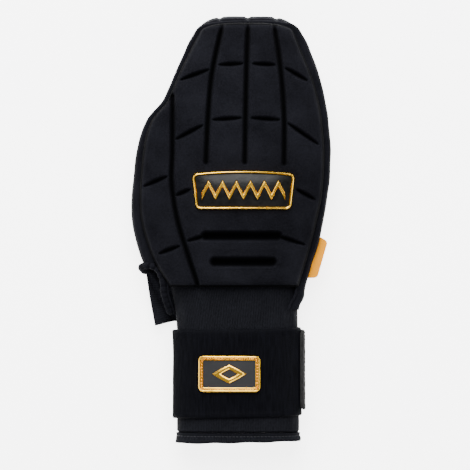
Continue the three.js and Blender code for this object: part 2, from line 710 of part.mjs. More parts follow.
// A lozenge with a lozenge opening.
function lozengeShape() {
  const reach = LOZENGE_WIDTH / 2;
  const rise = LOZENGE_HEIGHT / 2;
  const at = (scale) => [
    new THREE.Vector2(STRAP_BADGE_PLACE.x - reach * scale, STRAP_BADGE_PLACE.y),
    new THREE.Vector2(STRAP_BADGE_PLACE.x, STRAP_BADGE_PLACE.y - rise * scale),
    new THREE.Vector2(STRAP_BADGE_PLACE.x + reach * scale, STRAP_BADGE_PLACE.y),
    new THREE.Vector2(STRAP_BADGE_PLACE.x, STRAP_BADGE_PLACE.y + rise * scale),
  ];
  const shape = new THREE.Shape(at(1));
  shape.holes.push(new THREE.Path(at(LOZENGE_OPENING)));
  return shape;
}

function sideTag() {
  const curve = new THREE.CatmullRomCurve3(TAG_ROUTE.map((along) => planPoint(1, along)));
  const outer = GUSSET_BULGE + GAP;
  const start = curve.getLength() / 2 - TAG_LENGTH / 2;
  const level = (palmEdgeTop + edgeLevel) / 2;
  const upper = [];
  const lower = [];
  for (let i = 0; i <= TAG_STEPS; i += 1) {
    const share = (start + (i / TAG_STEPS) * TAG_LENGTH) / curve.getLength();
    const place = curve.getPointAt(share);
    const tangent = curve.getTangentAt(share);
    const outward = new THREE.Vector3(tangent.y, -tangent.x, 0);
    const row = [0, 0.5, 1].map((part) =>
      place.clone().addScaledVector(outward, outer + part * TAG_REACH).setZ(level));
    upper.push(row.map((point) => point.clone().setZ(level + TAG_THICKNESS / 2)));
    lower.push(row.map((point) => point.clone().setZ(level - TAG_THICKNESS / 2)));
  }
  return slab(upper, lower);
}

const plateTop = GAP + PLATE_THICKNESS;
const rimTop = GAP + RIM_THICKNESS;
const motifLow = plateTop + GAP;
const motifTop = motifLow + MOTIF_THICKNESS;

const PIECES = [
  { name: "back_pad", finish: "shell_fabric", solid: backPad() },
  { name: "palm_pad", finish: "shell_fabric", solid: palmPad() },
  { name: "side_gusset", finish: "shell_fabric", solid: sideGusset() },
  { name: "thumb_binding", finish: "shell_fabric", solid: thumbBinding(BINDING_RADIUS) },
  { name: "heel_panel", finish: "cuff_knit", solid: heelPanel() },
  { name: "cuff", finish: "cuff_knit", solid: cuff() },
  { name: "cuff_hem", finish: "cuff_knit", solid: cuffHem() },
  { name: "wrist_strap", finish: "strap_elastic", solid: wristStrap() },
  { name: "closure_tab", finish: "closure_fleece", solid: closureTab() },
  {
    name: "back_badge_rim",
    finish: "gold_trim",
    solid: onBack(rimShape(backBadgeShape, BACK_BADGE_RIM), GAP, rimTop),
  },
  {
    name: "back_badge_plate",
    finish: "badge_field",
    solid: onBack(backBadgeShape(BACK_BADGE_RIM + GAP), GAP, plateTop),
  },
  { name: "back_badge_motif", finish: "gold_trim", solid: onBack(zigzagShape(), motifLow, motifTop) },
  {
    name: "strap_badge_rim",
    finish: "gold_trim",
    solid: onStrap(rimShape(strapBadgeShape, STRAP_BADGE_RIM), GAP, rimTop),
  },
  {
    name: "strap_badge_plate",
    finish: "strap_badge_field",
    solid: onStrap(strapBadgeShape(STRAP_BADGE_RIM + GAP), GAP, plateTop),
  },
  { name: "strap_badge_motif", finish: "gold_trim", solid: onStrap(lozengeShape(), motifLow, motifTop) },
  { name: "side_tag", finish: "tag_fabric", solid: sideTag() },
];

const pieces = new THREE.Group();
for (const { name, finish, solid } of PIECES) {
  const mesh = new THREE.Mesh(geometryOf(solid), new THREE.MeshStandardMaterial(FINISHES[finish]));
  mesh.name = name;
  pieces.add(mesh);
}

// The origin lies under the middle of the whole mitt.
const bounds = new THREE.Box3().setFromObject(pieces);
const middle = bounds.getCenter(new THREE.Vector3());
pieces.position.set(-middle.x, -middle.y, -bounds.min.z);

const mitt = new THREE.Group();
mitt.add(pieces);

export default mitt;
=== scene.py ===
"""A padded sliding mitt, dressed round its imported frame."""
import math

import bpy
import numpy as np
from mathutils import Matrix, Vector


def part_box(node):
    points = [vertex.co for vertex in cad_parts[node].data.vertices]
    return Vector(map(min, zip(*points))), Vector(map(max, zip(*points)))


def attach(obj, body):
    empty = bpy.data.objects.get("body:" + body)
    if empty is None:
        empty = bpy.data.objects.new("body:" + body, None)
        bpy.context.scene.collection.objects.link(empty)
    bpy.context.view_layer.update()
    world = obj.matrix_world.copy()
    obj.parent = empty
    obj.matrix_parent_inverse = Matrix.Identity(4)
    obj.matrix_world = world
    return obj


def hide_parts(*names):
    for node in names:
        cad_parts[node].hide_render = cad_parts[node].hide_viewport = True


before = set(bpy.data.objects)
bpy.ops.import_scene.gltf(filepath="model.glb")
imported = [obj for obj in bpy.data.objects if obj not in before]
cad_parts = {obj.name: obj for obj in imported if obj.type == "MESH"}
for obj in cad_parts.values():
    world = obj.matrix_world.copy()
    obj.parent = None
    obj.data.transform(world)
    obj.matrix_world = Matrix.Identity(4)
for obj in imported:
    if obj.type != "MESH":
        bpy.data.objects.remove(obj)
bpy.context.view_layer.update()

bl_info = {
    "name": "Sliding Mitt",
    "version": (1, 0, 0),
    "blender": (4, 5, 0),
    "location": "View3D > Sidebar > Mitt",
    "description": "Builds a padded sliding mitt with its cuff, strap and badges",
    "category": "Object",
}

MM = 0.001
PAD_LOW, PAD_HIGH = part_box("back_pad")
HALF_PAD = (PAD_HIGH[0] - PAD_LOW[0]) / 2
PAD_LENGTH = PAD_HIGH[1] - PAD_LOW[1]
MIDDLE_X = (PAD_HIGH[0] + PAD_LOW[0]) / 2
WRIST_Y = PAD_LOW[1]
LIP_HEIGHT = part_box("palm_pad")[1][2]
CUFF_BOTTOM, CUFF_TOP = (corner[2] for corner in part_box("cuff"))
TAG_BOTTOM, TAG_TOP = (corner[2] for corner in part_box("side_tag"))
TAB_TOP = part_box("closure_tab")[1][2]

PALM_THICKNESS = 9 * MM
PALM_EDGE_TOP = 8 * MM
SIDE_HEIGHT = 24.5 * MM
EDGE_LEVEL = PALM_EDGE_TOP + SIDE_HEIGHT
BACK_EDGE = 5 * MM
BACK_THICKNESS = 9 * MM
BACK_CROWN = 3.5 * MM
CROWN_POWER = 2.2
EDGE_DROP = 1.3 * MM
EDGE_DROP_REACH = 10 * MM
TIP_BOW = 3.3 * MM
TIP_ZONE = 0.85
LIP_REACH = 4.8 * MM
LIP_RADIUS = 10 * MM
LIP_THICKNESS = 3 * MM
LIP_EDGE = 1.6 * MM
LIP_PUSH = 2.4 * MM
LIP_LEAN = 0.24
SCALLOP_DEPTH = 2.3 * MM
GUSSET_WALL = 2.4 * MM
GUSSET_BULGE = 4.6 * MM
GUSSET_HALF_TURN = math.radians(112)
GUSSET_CUT = 30 * MM
GUSSET_END = -0.088
CUFF_WIDTH = 90 * MM
CUFF_CENTRE = 4 * MM
CUFF_LENGTH = 115 * MM
CUFF_GIRTH = 254 * MM
CUFF_WALL = 3 * MM
CUFF_TUCK = 5 * MM
CUFF_ROUNDNESS = 2.6
CUFF_HALF_WIDTH = 44 * MM
CUFF_HALF_HEIGHT = 15.15 * MM
HEM_LENGTH = 7.5 * MM
STRAP_START = 31 * MM
STRAP_LENGTH = 65 * MM
STRAP_GIRTH = 262 * MM
STRAP_THICKNESS = 2.2 * MM
TAB_THICKNESS = 2.6 * MM
GAP = 0.3 * MM

# Half widths as shares of half the pad: along, left, right, palm side's left.
OUTLINE = (
    (-0.06, -0.62, 0.69, -0.9), (0, -0.677, 0.72, -0.9), (0.095, -0.839, 0.801, -0.915),
    (0.2, -0.947, 0.884, -0.955), (0.265, -0.988, 0.926, -0.988), (0.333, -1, 0.967, -1),
    (0.42, -0.989, 0.992, -0.989), (0.508, -0.964, 1, -0.964), (0.565, -0.939, 0.992, -0.939),
    (0.623, -0.881, 0.975, -0.881), (0.652, -0.828, 0.968, -0.828), (0.698, -0.712, 0.942, -0.712),
    (0.746, -0.65, 0.91, -0.65), (0.809, -0.575, 0.854, -0.575), (0.89, -0.467, 0.761, -0.467),
    (0.96, -0.374, 0.688, -0.374), (0.985, -0.341, 0.66, -0.341), (1, -0.31, 0.628, -0.31),
)
# How far the back pad's edge lifts, as a share of the side height.
BACK_LINE = ((-0.06, 0), (0, 0), (0.3, 0.04), (0.6, 0.01), (0.85, -0.1), (1, -0.24))
# Sewn grooves of the back: shares of half the width and of the length.
LONG_GROOVES = (
    ((-0.09, 1.01), (-0.21, 0.814), (-0.254, 0.659), (-0.279, 0.47)),
    ((0.176, 1.01), (0.159, 0.856), (0.146, 0.648), (0.138, 0.47)),
    ((0.445, 1.01), (0.52, 0.833), (0.561, 0.648), (0.561, 0.466)),
    ((-0.641, 0.722), (-0.64, 0.6), (-0.641, 0.5), (-0.648, 0.391), (-0.591, 0.258),
     (-0.484, 0.13), (-0.372, 0.012)),
)
SHORT_GROOVES = (
    ((-0.135, 0.838), (0.114, 0.842)), ((0.227, 0.842), (0.461, 0.838)),
    ((-0.201, 0.63), (0.097, 0.637)), ((0.212, 0.637), (0.509, 0.63)),
    ((-0.55, 0.783), (-0.251, 0.82)), ((0.577, 0.826), (0.809, 0.78)),
    ((-0.6, 0.557), (-0.317, 0.609)), ((0.602, 0.617), (0.926, 0.539)),
    ((-0.6, 0.345), (-0.45, 0.368)), ((0.693, 0.368), (0.892, 0.33)),
    ((-0.947, 0.38), (-0.698, 0.417)), ((-0.782, 0.126), (-0.566, 0.155)),
    ((-0.475, 0.174), (-0.23, 0.199)), ((0.42, 0.2), (0.78, 0.16)),
)
WIDE_SLOTS = (((-0.347, 0.193), (0.552, 0.193)), ((-0.251, 0.095), (0.495, 0.095)))
PALM_GROOVES = (
    ((0.45, -0.28), (0.8, -0.22), (1, -0.12)),
    ((0.45, 0.14), (0.8, 0.16), (1, 0.17)),
    ((0.45, 0.56), (0.8, 0.52), (1, 0.46)),
)
# The cuff's sides: along its length, left and right of half its width.
CUFF_SIDES = (
    (-0.05, -1.1, 0.98), (0, -1.09, 0.98), (0.16, -1.02, 0.982), (0.34, -0.985, 0.995),
    (0.75, -0.985, 1), (1, -1, 1.025),
)
# The heel panel's sides: along its length, left and right of half the pad's width.
PANEL_SIDES = (
    (0, -0.9, 0.62), (0.3, -0.878, 0.6), (0.55, -0.86, 0.42), (0.8, -0.838, 0),
    (0.94, -0.826, -0.52), (1, -0.82, -0.72),
)
PANEL_LENGTH = 27 * MM
PANEL_RISE = 12.5 * MM
PANEL_THICKNESS = 1.8 * MM
PANEL_CURL = 7 * MM
PANEL_CURL_WIDTH = 14 * MM
PANEL_CREASE = ((-62.5 * MM, 7 * MM), (-55 * MM, -8 * MM), (-44 * MM, -24 * MM))
# How much further the side gusset bulges: along, left and right, in millimetres.
GUSSET_SPREAD = (
    (-0.1, 3, 2.2), (0.03, 3.5, 0.6), (0.095, 3.9, 0.2), (0.155, 3.5, 0.6), (0.235, 3, 0.9),
    (0.307, 2.1, 0), (0.367, 1.5, 0), (0.43, 0.9, 0.4), (0.49, 0.6, 0.6), (0.56, 0, 0.6),
    (0.62, -0.5, 0.8), (0.67, -1.2, 0.7), (0.76, -1.2, 1.2), (0.82, -1.2, 1.6), (0.885, -0.8, 1.8),
    (0.943, 0.8, 2.7), (0.975, 2, 3.4), (1, 1.6, 2.4),
)
# The side label: where its foot and its fold start at the wrist end and end at the other.
TAG_FOOT = ((52.8 * MM, 6.2 * MM), (62.7 * MM, 38.2 * MM))
TAG_FOLD = ((62.9 * MM, 6.6 * MM), (70.7 * MM, 33.6 * MM))
# The binding's route: across, along and up the side.
BINDING_ROUTE = (
    (-0.9, 0.062, 0.16), (-0.975, 0.072, 0.45), (-0.955, 0.078, 0.78), (-0.88, 0.08, 0.885),
    (-0.81, 0.068, 0.885), (-0.765, 0.043, 0.885), (-0.745, 0.012, 0.87), (-0.74, -0.02, 0.82),
    (-0.72, -0.05, 0.72), (-0.692, -0.08, 0.6), (-0.668, -0.105, 0.46),
)
BACK_BADGE = {
    "place": (0.123 * HALF_PAD, 0.366 * PAD_LENGTH), "width": 75 * MM, "height": 29 * MM,
    "corner": 5 * MM, "taper": 2 * MM, "arch": 1.6 * MM, "rim": 2.8 * MM,
}
STRAP_BADGE = {
    "place": (-2 * MM, -STRAP_START - STRAP_LENGTH / 2), "width": 46 * MM, "height": 27.5 * MM,
    "corner": 4.8 * MM, "taper": 0.0, "arch": 0.0, "rim": 4 * MM,
}
# The strap badge's rim: shares of its width, and heights in millimetres.
STRAP_RIM = (
    (0, 0.2), (0.03, 0.8), (0.1, 1.5), (0.2, 2.05), (0.32, 2.3), (0.42, 2.2), (0.48, 1.8),
    (0.53, 1.2), (0.62, 1.0), (0.72, 1.05), (0.79, 1.5), (0.86, 2.1), (0.93, 2.0), (0.98, 1.6),
    (1, 1.1), (1, 0.2), (0.5, 0.1),
)
# The lozenge's section: shares of its size, and heights in millimetres.
LOZENGE = (
    (1, 1.0), (1, 1.6), (0.96, 2.0), (0.9, 2.2), (0.75, 2.3), (0.6, 2.2), (0.54, 2.0),
    (0.5, 1.6), (0.5, 1.0),
)
# The stage's lights: name, place, size and power.
LIGHTS = (
    ("light_top", (0.0, 0.95, 1.5), 1.1, 58.0),
    ("light_rim", (-0.35, 1.45, 0.75), 0.9, 36.0),
    ("light_left", (-1.2, -0.5, 1.3), 0.8, 8.0),
    ("light_low", (0.4, -1.1, 1.4), 0.8, 11.0),
)
WORLD_LIGHT = 0.42
FLOOR_GLOW = 4.2
SENSOR = 36.0
LENS = 180.0
PICTURE_WIDTH = 470 * 0.735 * MM
PAD_LEVEL = 32 * MM
CAMERA_SPOT = (2.2 * MM, -3.7 * MM, PAD_LEVEL + PICTURE_WIDTH * LENS / SENSOR)
LIGHT_TARGET = (0, 0.02, 0.02)
FLOOR_SIZE = 8
FLOOR_LEVEL = -0.05 * MM


def size_of(name, description, value, least=0.0):
    """A size that a user may change, in millimetres."""
    return bpy.props.FloatProperty(
        name=name, description=description, default=value * MM, min=least * MM, unit="LENGTH")


def colour_of(name, description, value):
    """A colour that a user may change."""
    return bpy.props.FloatVectorProperty(
        name=name, description=description, subtype="COLOR", default=value, min=0.0, max=1.0)


class MittPadSizes(bpy.types.PropertyGroup):
    """Sizes of the foam pads."""
    groove_width: size_of("Groove width", "Width of a sewn groove at its top", 5.2)
    groove_depth: size_of("Groove depth", "Depth of a sewn groove", 6.0)
    slot_width: size_of("Slot width", "Width of a wide slot at its top", 8.8)
    slot_depth: size_of("Slot depth", "Depth of a wide slot", 7.6)
    shoulder: size_of("Shoulder", "Radius of the pad's rounded edge", 4.4, 0.1)
    puff: size_of("Puff", "How far a panel swells between its grooves", 0.45)


class MittClothSizes(bpy.types.PropertyGroup):
    """Sizes of the cloth's ribs, folds and stitches."""
    rib_pitch: size_of("Rib pitch", "Distance between two ribs of the elastic strap", 1.05, 0.3)
    rib_depth: size_of("Rib depth", "Depth between two ribs of the elastic strap", 0.28)
    pucker: size_of("Pucker", "Height of the small gathers along the side seam", 0.22)
    stitch: size_of("Stitch length", "Length of one stitch of the hem", 2.3, 0.5)
    slant: size_of("Strap slant", "How much higher the strap sits at its right end", 1.9, -5)


class MittColours(bpy.types.PropertyGroup):
    """Colours of the mitt's finishes."""
    shell: colour_of("Shell", "Cloth over the foam pads", (0.0048, 0.0049, 0.0065))
    knit: colour_of("Knit", "Knitted cloth of the cuff", (0.0042, 0.0044, 0.0058))
    elastic: colour_of("Elastic", "Ribbed elastic strap", (0.0017, 0.0018, 0.0027))
    fleece: colour_of("Fleece", "Fuzzy closure at the strap's end", (0.0092, 0.0092, 0.0092))
    gold: colour_of("Gold", "Gold trim of the badges", (0.79, 0.45, 0.042))
    field: colour_of("Badge field", "Grained field of the back badge", (0.0018, 0.0018, 0.0018))
    strap_field: colour_of("Strap badge field", "Matt field of the strap badge", (0.0125, 0.0125, 0.0135))
    tag: colour_of("Tag", "Satin label in the side seam", (0.78, 0.295, 0.002))


def read(rows, column, along):
    """Reads one column of a table at each share along, on a smooth curve through its rows."""
    table = np.array(rows, float)
    spots, values = table[:, 0], table[:, column]
    slopes = np.empty_like(values)
    slopes[1:-1] = (values[2:] - values[:-2]) / (spots[2:] - spots[:-2])
    slopes[0] = (values[1] - values[0]) / (spots[1] - spots[0])
    slopes[-1] = (values[-1] - values[-2]) / (spots[-1] - spots[-2])
    along = np.clip(along, spots[0], spots[-1])
    i = np.clip(np.searchsorted(spots, along, side="right") - 1, 0, len(spots) - 2)
    span = spots[i + 1] - spots[i]
    t = (along - spots[i]) / span
    start = (1 + 2 * t) * (1 - t) ** 2 * values[i] + t * (1 - t) ** 2 * span * slopes[i]
    end = t * t * (3 - 2 * t) * values[i + 1] + t * t * (t - 1) * span * slopes[i + 1]
    return start + end


def ease(value, low, high):
    """Rises smoothly from 0 at low to 1 at high."""
    t = np.clip((value - low) / (high - low), 0, 1)
    return t * t * (3 - 2 * t)


def mix(low, high, share):
    return low + (high - low) * share


def hill(value, middle, width):
    """A smooth hill, 1 high at its middle."""
    return np.exp(-((value - middle) / width) ** 2)


def round_off(share):
    """Rises from 0 to 1 along a quarter of a circle."""
    return np.sqrt(1 - (1 - np.clip(share, 0, 1)) ** 2)


def wave(run, pitch, shift=0):
    return np.sin(math.tau * run / pitch + shift)


def uneven(x, y, size, seed):
    """Smooth unevenness, about -1 to 1, with bumps about size across."""
    chance = np.random.default_rng(seed)
    total = np.zeros(np.broadcast(x, y).shape)
    for _ in range(8):
        angle = chance.uniform(0, math.tau)
        length = size * chance.uniform(0.7, 1.5)
        phase = chance.uniform(0, math.tau)
        total += np.sin(math.tau * (x * math.cos(angle) + y * math.sin(angle)) / length + phase)
    return total / 4


def run_along(*axes):
    """Distance run along a line up to each of its points."""
    steps = np.hypot(*(np.diff(axis) for axis in axes))
    return np.concatenate([[0], np.cumsum(steps)])


def stack(x, y, z):
    """Puts plan places, measured from the pad's wrist edge, into the frame."""
    x, y, z = np.broadcast_arrays(x, y, z)
    return np.stack([x + MIDDLE_X, y + WRIST_Y, z], axis=-1)


def smooth_route(points, steps=8):
    """Points of a smooth line through the given ones."""
    points = np.array(points, float)
    count = len(points)
    at = np.linspace(0, count - 1, (count - 1) * steps + 1)
    rows = np.column_stack([np.arange(count), points])
    return np.column_stack([read(rows, i + 1, at) for i in range(points.shape[1])])


def distance_to(x, y, line):
    """Distance from each place to a line of points."""
    nearest = np.full(x.shape, 1e9)
    for (ax, ay), (bx, by) in zip(line[:-1], line[1:]):
        run_x, run_y = bx - ax, by - ay
        share = ((x - ax) * run_x + (y - ay) * run_y) / (run_x ** 2 + run_y ** 2)
        share = np.clip(share, 0, 1)
        nearest = np.minimum(nearest, np.hypot(x - ax - share * run_x, y - ay - share * run_y))
    return nearest


def denser_ends(share, amount=0.14):
    """Spreads shares from -1 to 1 so that they lie closer at both ends."""
    return share * (1 + amount - amount * share ** 2)


def plan_place(across, along, left_column=1):
    """The plan place of a share across and a share along the pad."""
    left, right = read(OUTLINE, left_column, along), read(OUTLINE, 2, along)
    near_tip = np.maximum(0, (along - TIP_ZONE) / (1 - TIP_ZONE))
    bow = TIP_BOW * across ** 4 * near_tip ** 2
    x = ((right + left) / 2 + (right - left) / 2 * across) * HALF_PAD
    return x, along * PAD_LENGTH - bow


def shares_at(x, y):
    """The shares across and along the back pad of a plan place, and half the pad's width there."""
    along = y / PAD_LENGTH
    left, right = read(OUTLINE, 1, along), read(OUTLINE, 2, along)
    across = (x / HALF_PAD - (right + left) / 2) / ((right - left) / 2)
    return np.clip(across, -1, 1), along, (right - left) / 2 * HALF_PAD


def edge_height(along):
    return EDGE_LEVEL + read(BACK_LINE, 1, along) * SIDE_HEIGHT


def crown(across):
    return 1 - np.abs(across) ** CROWN_POWER


def back_top(shoulder, across, along):
    """Height of the back pad's top before its grooves."""
    half_width = (read(OUTLINE, 2, along) - read(OUTLINE, 1, along)) / 2 * HALF_PAD
    from_side = (1 - np.abs(across)) * half_width
    from_edge = np.minimum(from_side, np.minimum(along, 1 - along) * PAD_LENGTH)
    body = BACK_THICKNESS - BACK_EDGE + BACK_CROWN
    drop = EDGE_DROP * (1 - np.clip(from_edge / EDGE_DROP_REACH, 0, 1)) ** 2
    height = edge_height(along) + BACK_EDGE - shoulder + shoulder * round_off(from_edge / shoulder)
    return height + body * crown(across) - drop


def deselect():
    """Leaves nothing selected and nothing in edit mode."""
    if bpy.context.object and bpy.context.object.mode != "OBJECT":
        bpy.ops.object.mode_set(mode="OBJECT")
    bpy.ops.object.select_all(action="DESELECT")


def only(piece):
    """Makes one piece the selected and active one."""
    deselect()
    piece.select_set(True)
    bpy.context.view_layer.objects.active = piece


def take_name(name):
    piece = bpy.context.object
    piece.name = name
    piece.data.name = name
    return piece


def new_grid(name, columns, rows):
    """A flat grid, and its points."""
    deselect()
    bpy.ops.mesh.primitive_grid_add(x_subdivisions=columns, y_subdivisions=rows, size=1)
    piece = take_name(name)
    return piece, points_of(piece)


def points_of(piece):
    points = np.empty(len(piece.data.vertices) * 3)
    piece.data.vertices.foreach_get("co", points)
    return points.reshape(-1, 3)


def move_points(piece, points):
    piece.data.vertices.foreach_set("co", np.ascontiguousarray(points, dtype=float).ravel())
    piece.data.update()


def note_painted_shade(piece, shares):
    """Notes, for painted shade, how deep each point lies in a groove, seam or fold; the shell cloth is
    painted darker there.
    """
    layer = piece.data.attributes.new("painted_shade", "FLOAT", "POINT")
    layer.data.foreach_set("value", shares)


def scale_cut(piece, width, length):
    """Stretches the piece's UV map to metres."""
    layer = piece.data.uv_layers.active.data
    spots = np.empty(len(layer) * 2)
    layer.foreach_get("uv", spots)
    spots = spots.reshape(-1, 2) * (width, length)
    layer.foreach_set("uv", spots.ravel())


def merge_and_smooth(piece, angle=None, reach=0.00001):
    """Merges doubled points, turns all faces outwards and shades them smooth."""
    only(piece)
    bpy.ops.object.mode_set(mode="EDIT")
    bpy.ops.mesh.select_all(action="SELECT")
    bpy.ops.mesh.remove_doubles(threshold=reach)
    bpy.ops.mesh.normals_make_consistent(inside=False)
    bpy.ops.object.mode_set(mode="OBJECT")
    only(piece)
    if angle is None:
        bpy.ops.object.shade_smooth()
    else:
        bpy.ops.object.shade_smooth_by_angle(angle=math.radians(angle))


def wall(name, columns, rows, side, cut=None, keep_inside=1.0, angle=60):
    """A closed wall of cloth or foam: a grid is extruded, and side(u, v, outer) shapes its faces."""
    piece, _ = new_grid(name, columns, rows)
    bpy.ops.object.mode_set(mode="EDIT")
    bpy.ops.mesh.select_all(action="SELECT")
    bpy.ops.mesh.extrude_region_move(TRANSFORM_OT_translate={"value": (0, 0, 1)})
    bpy.ops.object.mode_set(mode="OBJECT")
    flat = points_of(piece)
    u, v = flat[:, 0] + 0.5, flat[:, 1] + 0.5
    outside = flat[:, 2] > 0.5
    points = np.empty_like(flat)
    for face, outer in ((outside, True), (~outside, False)):
        points[face] = side(u[face], v[face], outer)
    move_points(piece, points)
    if keep_inside < 1:
        thin_inside(piece, ~outside, u, v, keep_inside)
    merge_and_smooth(piece, angle)
    if cut:
        scale_cut(piece, *cut)
    return piece


def thin_inside(piece, inside, u, v, share):
    """Thins the hidden inner face, and leaves its border as it is."""
    margin = 0.02
    within = inside & (u > margin) & (u < 1 - margin) & (v > margin) & (v < 1 - margin)
    only(piece)
    bpy.ops.object.mode_set(mode="EDIT")
    bpy.ops.mesh.select_all(action="DESELECT")
    bpy.ops.object.mode_set(mode="OBJECT")
    piece.data.vertices.foreach_set("select", within)
    bpy.ops.object.mode_set(mode="EDIT")
    bpy.ops.mesh.select_mode(type="VERT")
    bpy.ops.mesh.decimate(ratio=share)
    bpy.ops.object.mode_set(mode="OBJECT")


def ring(name, around, section, shape, cut, angle=50):
    """A closed band: a grid is rolled up both ways, and its rings and sections are then shaped."""
    piece, flat = new_grid(name, around, section)
    i = np.rint((flat[:, 0] + 0.5) * around).astype(int) % around
    j = np.rint((flat[:, 1] + 0.5) * section).astype(int) % section
    move_points(piece, shape(i, j))
    scale_cut(piece, *cut)
    merge_and_smooth(piece, angle)
    return piece


def rod(name, route, radius, sides=14, wrinkle=None):
    """A round cord along a smooth route, with rounded closed ends: a grid rolled up."""
    line = np.array(route, float)
    steps = len(line) - 1
    forward = np.gradient(line, axis=0)
    forward /= np.linalg.norm(forward, axis=1)[:, None]
    side = np.cross(forward, (0.0, 0.0, 1.0))
    side /= np.linalg.norm(side, axis=1)[:, None]
    up = np.cross(side, forward)
    length = np.concatenate([[0], np.cumsum(np.linalg.norm(np.diff(line, axis=0), axis=1))])
    piece, flat = new_grid(name, steps, sides)
    i = np.rint((flat[:, 0] + 0.5) * steps).astype(int)
    turn = (flat[:, 1] + 0.5) * math.tau
    from_end = np.clip(np.minimum(length[i], length[-1] - length[i]) / radius, 0, 1)
    thick = radius * round_off(from_end)
    if wrinkle is not None:
        swell = wrinkle(length[i], turn)
        thick = thick * (1 + swell * from_end)
        # Painted shade: the cord's colour is darkened in the hollows between its gathers.
        note_painted_shade(piece, np.clip(0.18 - 1.6 * swell, 0, 0.5))
    spread = side[i] * np.cos(turn)[:, None] + up[i] * np.sin(turn)[:, None]
    move_points(piece, line[i] + spread * thick[:, None])
    scale_cut(piece, length[-1], math.tau * radius)
    merge_and_smooth(piece)
    return piece


def sew(name, places, forwards, ups, length, width, height):
    """A row of stitches: one small oval is modelled, and a copy is laid at each place."""
    deselect()
    bpy.ops.mesh.primitive_uv_sphere_add(segments=6, ring_count=4, radius=0.5)
    first = take_name(name)
    copies = []
    for place, forward, up in zip(places, forwards, ups):
        forward = Vector(forward).normalized()
        side = Vector(up).cross(forward).normalized()
        up = forward.cross(side)
        turned = Matrix((side * width, forward * length, up * height)).transposed().to_4x4()
        copy = first.copy()
        copy.data = first.data.copy()
        bpy.context.collection.objects.link(copy)
        copy.data.transform(Matrix.Translation(Vector(place)) @ turned)
        copies.append(copy)
    bpy.data.objects.remove(first)
    deselect()
    for copy in copies:
        copy.select_set(True)
    bpy.context.view_layer.objects.active = copies[0]
    bpy.ops.object.join()
    piece = take_name(name)
    merge_and_smooth(piece, reach=0.000001)
    return piece


def dress(piece, finish, slot, *nodes):
    """Gives a piece its finish and its body and hides the nodes that it stands for; slot is not used."""
    piece.data.materials.clear()
    piece.data.materials.append(bpy.data.materials[finish])
    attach(piece, "root")
    if nodes:
        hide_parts(*nodes)
    return piece


def shade(colour, share):
    return tuple(min(1.0, value * share) for value in colour)


class Finish:
    """A finish in the making: constants stand on its shader's own sockets, and nodes vary the rest."""

    def __init__(self, name, **sockets):
        self.material = bpy.data.materials.new(name)
        self.material.use_nodes = True
        self.tree = self.material.node_tree
        self.shader = self.tree.nodes["Principled BSDF"]
        for socket, value in sockets.items():
            self.shader.inputs[socket.replace("_", " ")].default_value = value

    def add(self, kind, sockets, output, **settings):
        """Adds a node and returns one of its outputs."""
        node = self.tree.nodes.new("ShaderNode" + kind)
        for name, value in settings.items():
            setattr(node, name, value)
        for socket, value in sockets.items():
            if isinstance(value, bpy.types.NodeSocket):
                self.tree.links.new(value, node.inputs[socket])
            else:
                node.inputs[socket].default_value = value
        return node.outputs[output]

    def place(self, source, stretch=(1, 1, 1), turn=0.0):
        """Coordinates of a piece, Object or UV, stretched and turned for a pattern."""
        where = self.add("TexCoord", {}, source)
        return self.add("Mapping", {"Vector": where, "Scale": stretch, "Rotation": (0, 0, turn)}, "Vector")

    def noise(self, where, scale, detail=3.0, roughness=0.55):
        sockets = {"Vector": where, "Scale": scale, "Detail": detail, "Roughness": roughness}
        return self.add("TexNoise", sockets, "Fac")

    def bands(self, where, pitch, direction, distortion=0.0):
        """Fine parallel lines, one every pitch, in millimetres."""
        sockets = {"Vector": where, "Scale": math.tau / 20 / (pitch * MM), "Distortion": distortion,
                   "Detail Scale": 3.0}
        return self.add("TexWave", sockets, "Fac", bands_direction=direction)

    def plus(self, first, second):
        return self.add("Math", {0: first, 1: second}, 0, operation="ADD")

    def times(self, first, second):
        return self.add("Math", {0: first, 1: second}, 0, operation="MULTIPLY")

    def total(self, first, *others):
        """Adds up values, each times its weight."""
        added = self.times(*first)
        for other in others:
            added = self.plus(added, self.times(*other))
        return added

    def levels(self, value, low, high, to_low, to_high):
        """Moves a value from one range to another."""
        sockets = {"Value": value, "From Min": low, "From Max": high, "To Min": to_low, "To Max": to_high}
        return self.add("MapRange", sockets, "Result")

    def tone(self, value, colour, *stops):
        """Colours the shader by a value: each stop is a level and a share of the colour."""
        tone = self.add("ValToRGB", {"Fac": value}, "Color")
        row = tone.node.color_ramp.elements
        while len(row) < len(stops):
            row.new(0.5)
        for element, (at, share) in zip(row, stops):
            element.position = at
            element.color = (*shade(colour, share), 1)
        self.tree.links.new(tone, self.shader.inputs["Base Color"])

    def gloss(self, value, to_low, to_high):
        """Varies the shader's roughness with a value."""
        self.tree.links.new(self.levels(value, 0.3, 0.7, to_low, to_high), self.shader.inputs["Roughness"])

    def relief(self, *layers):
        """Adds bumps: each layer is a height, how strong it is and how high in millimetres."""
        below = {}
        for height, strength, distance in layers:
            sockets = {"Height": height, "Strength": strength, "Distance": distance * MM, **below}
            below = {"Normal": self.add("Bump", sockets, "Normal")}
        self.tree.links.new(below["Normal"], self.shader.inputs["Normal"])


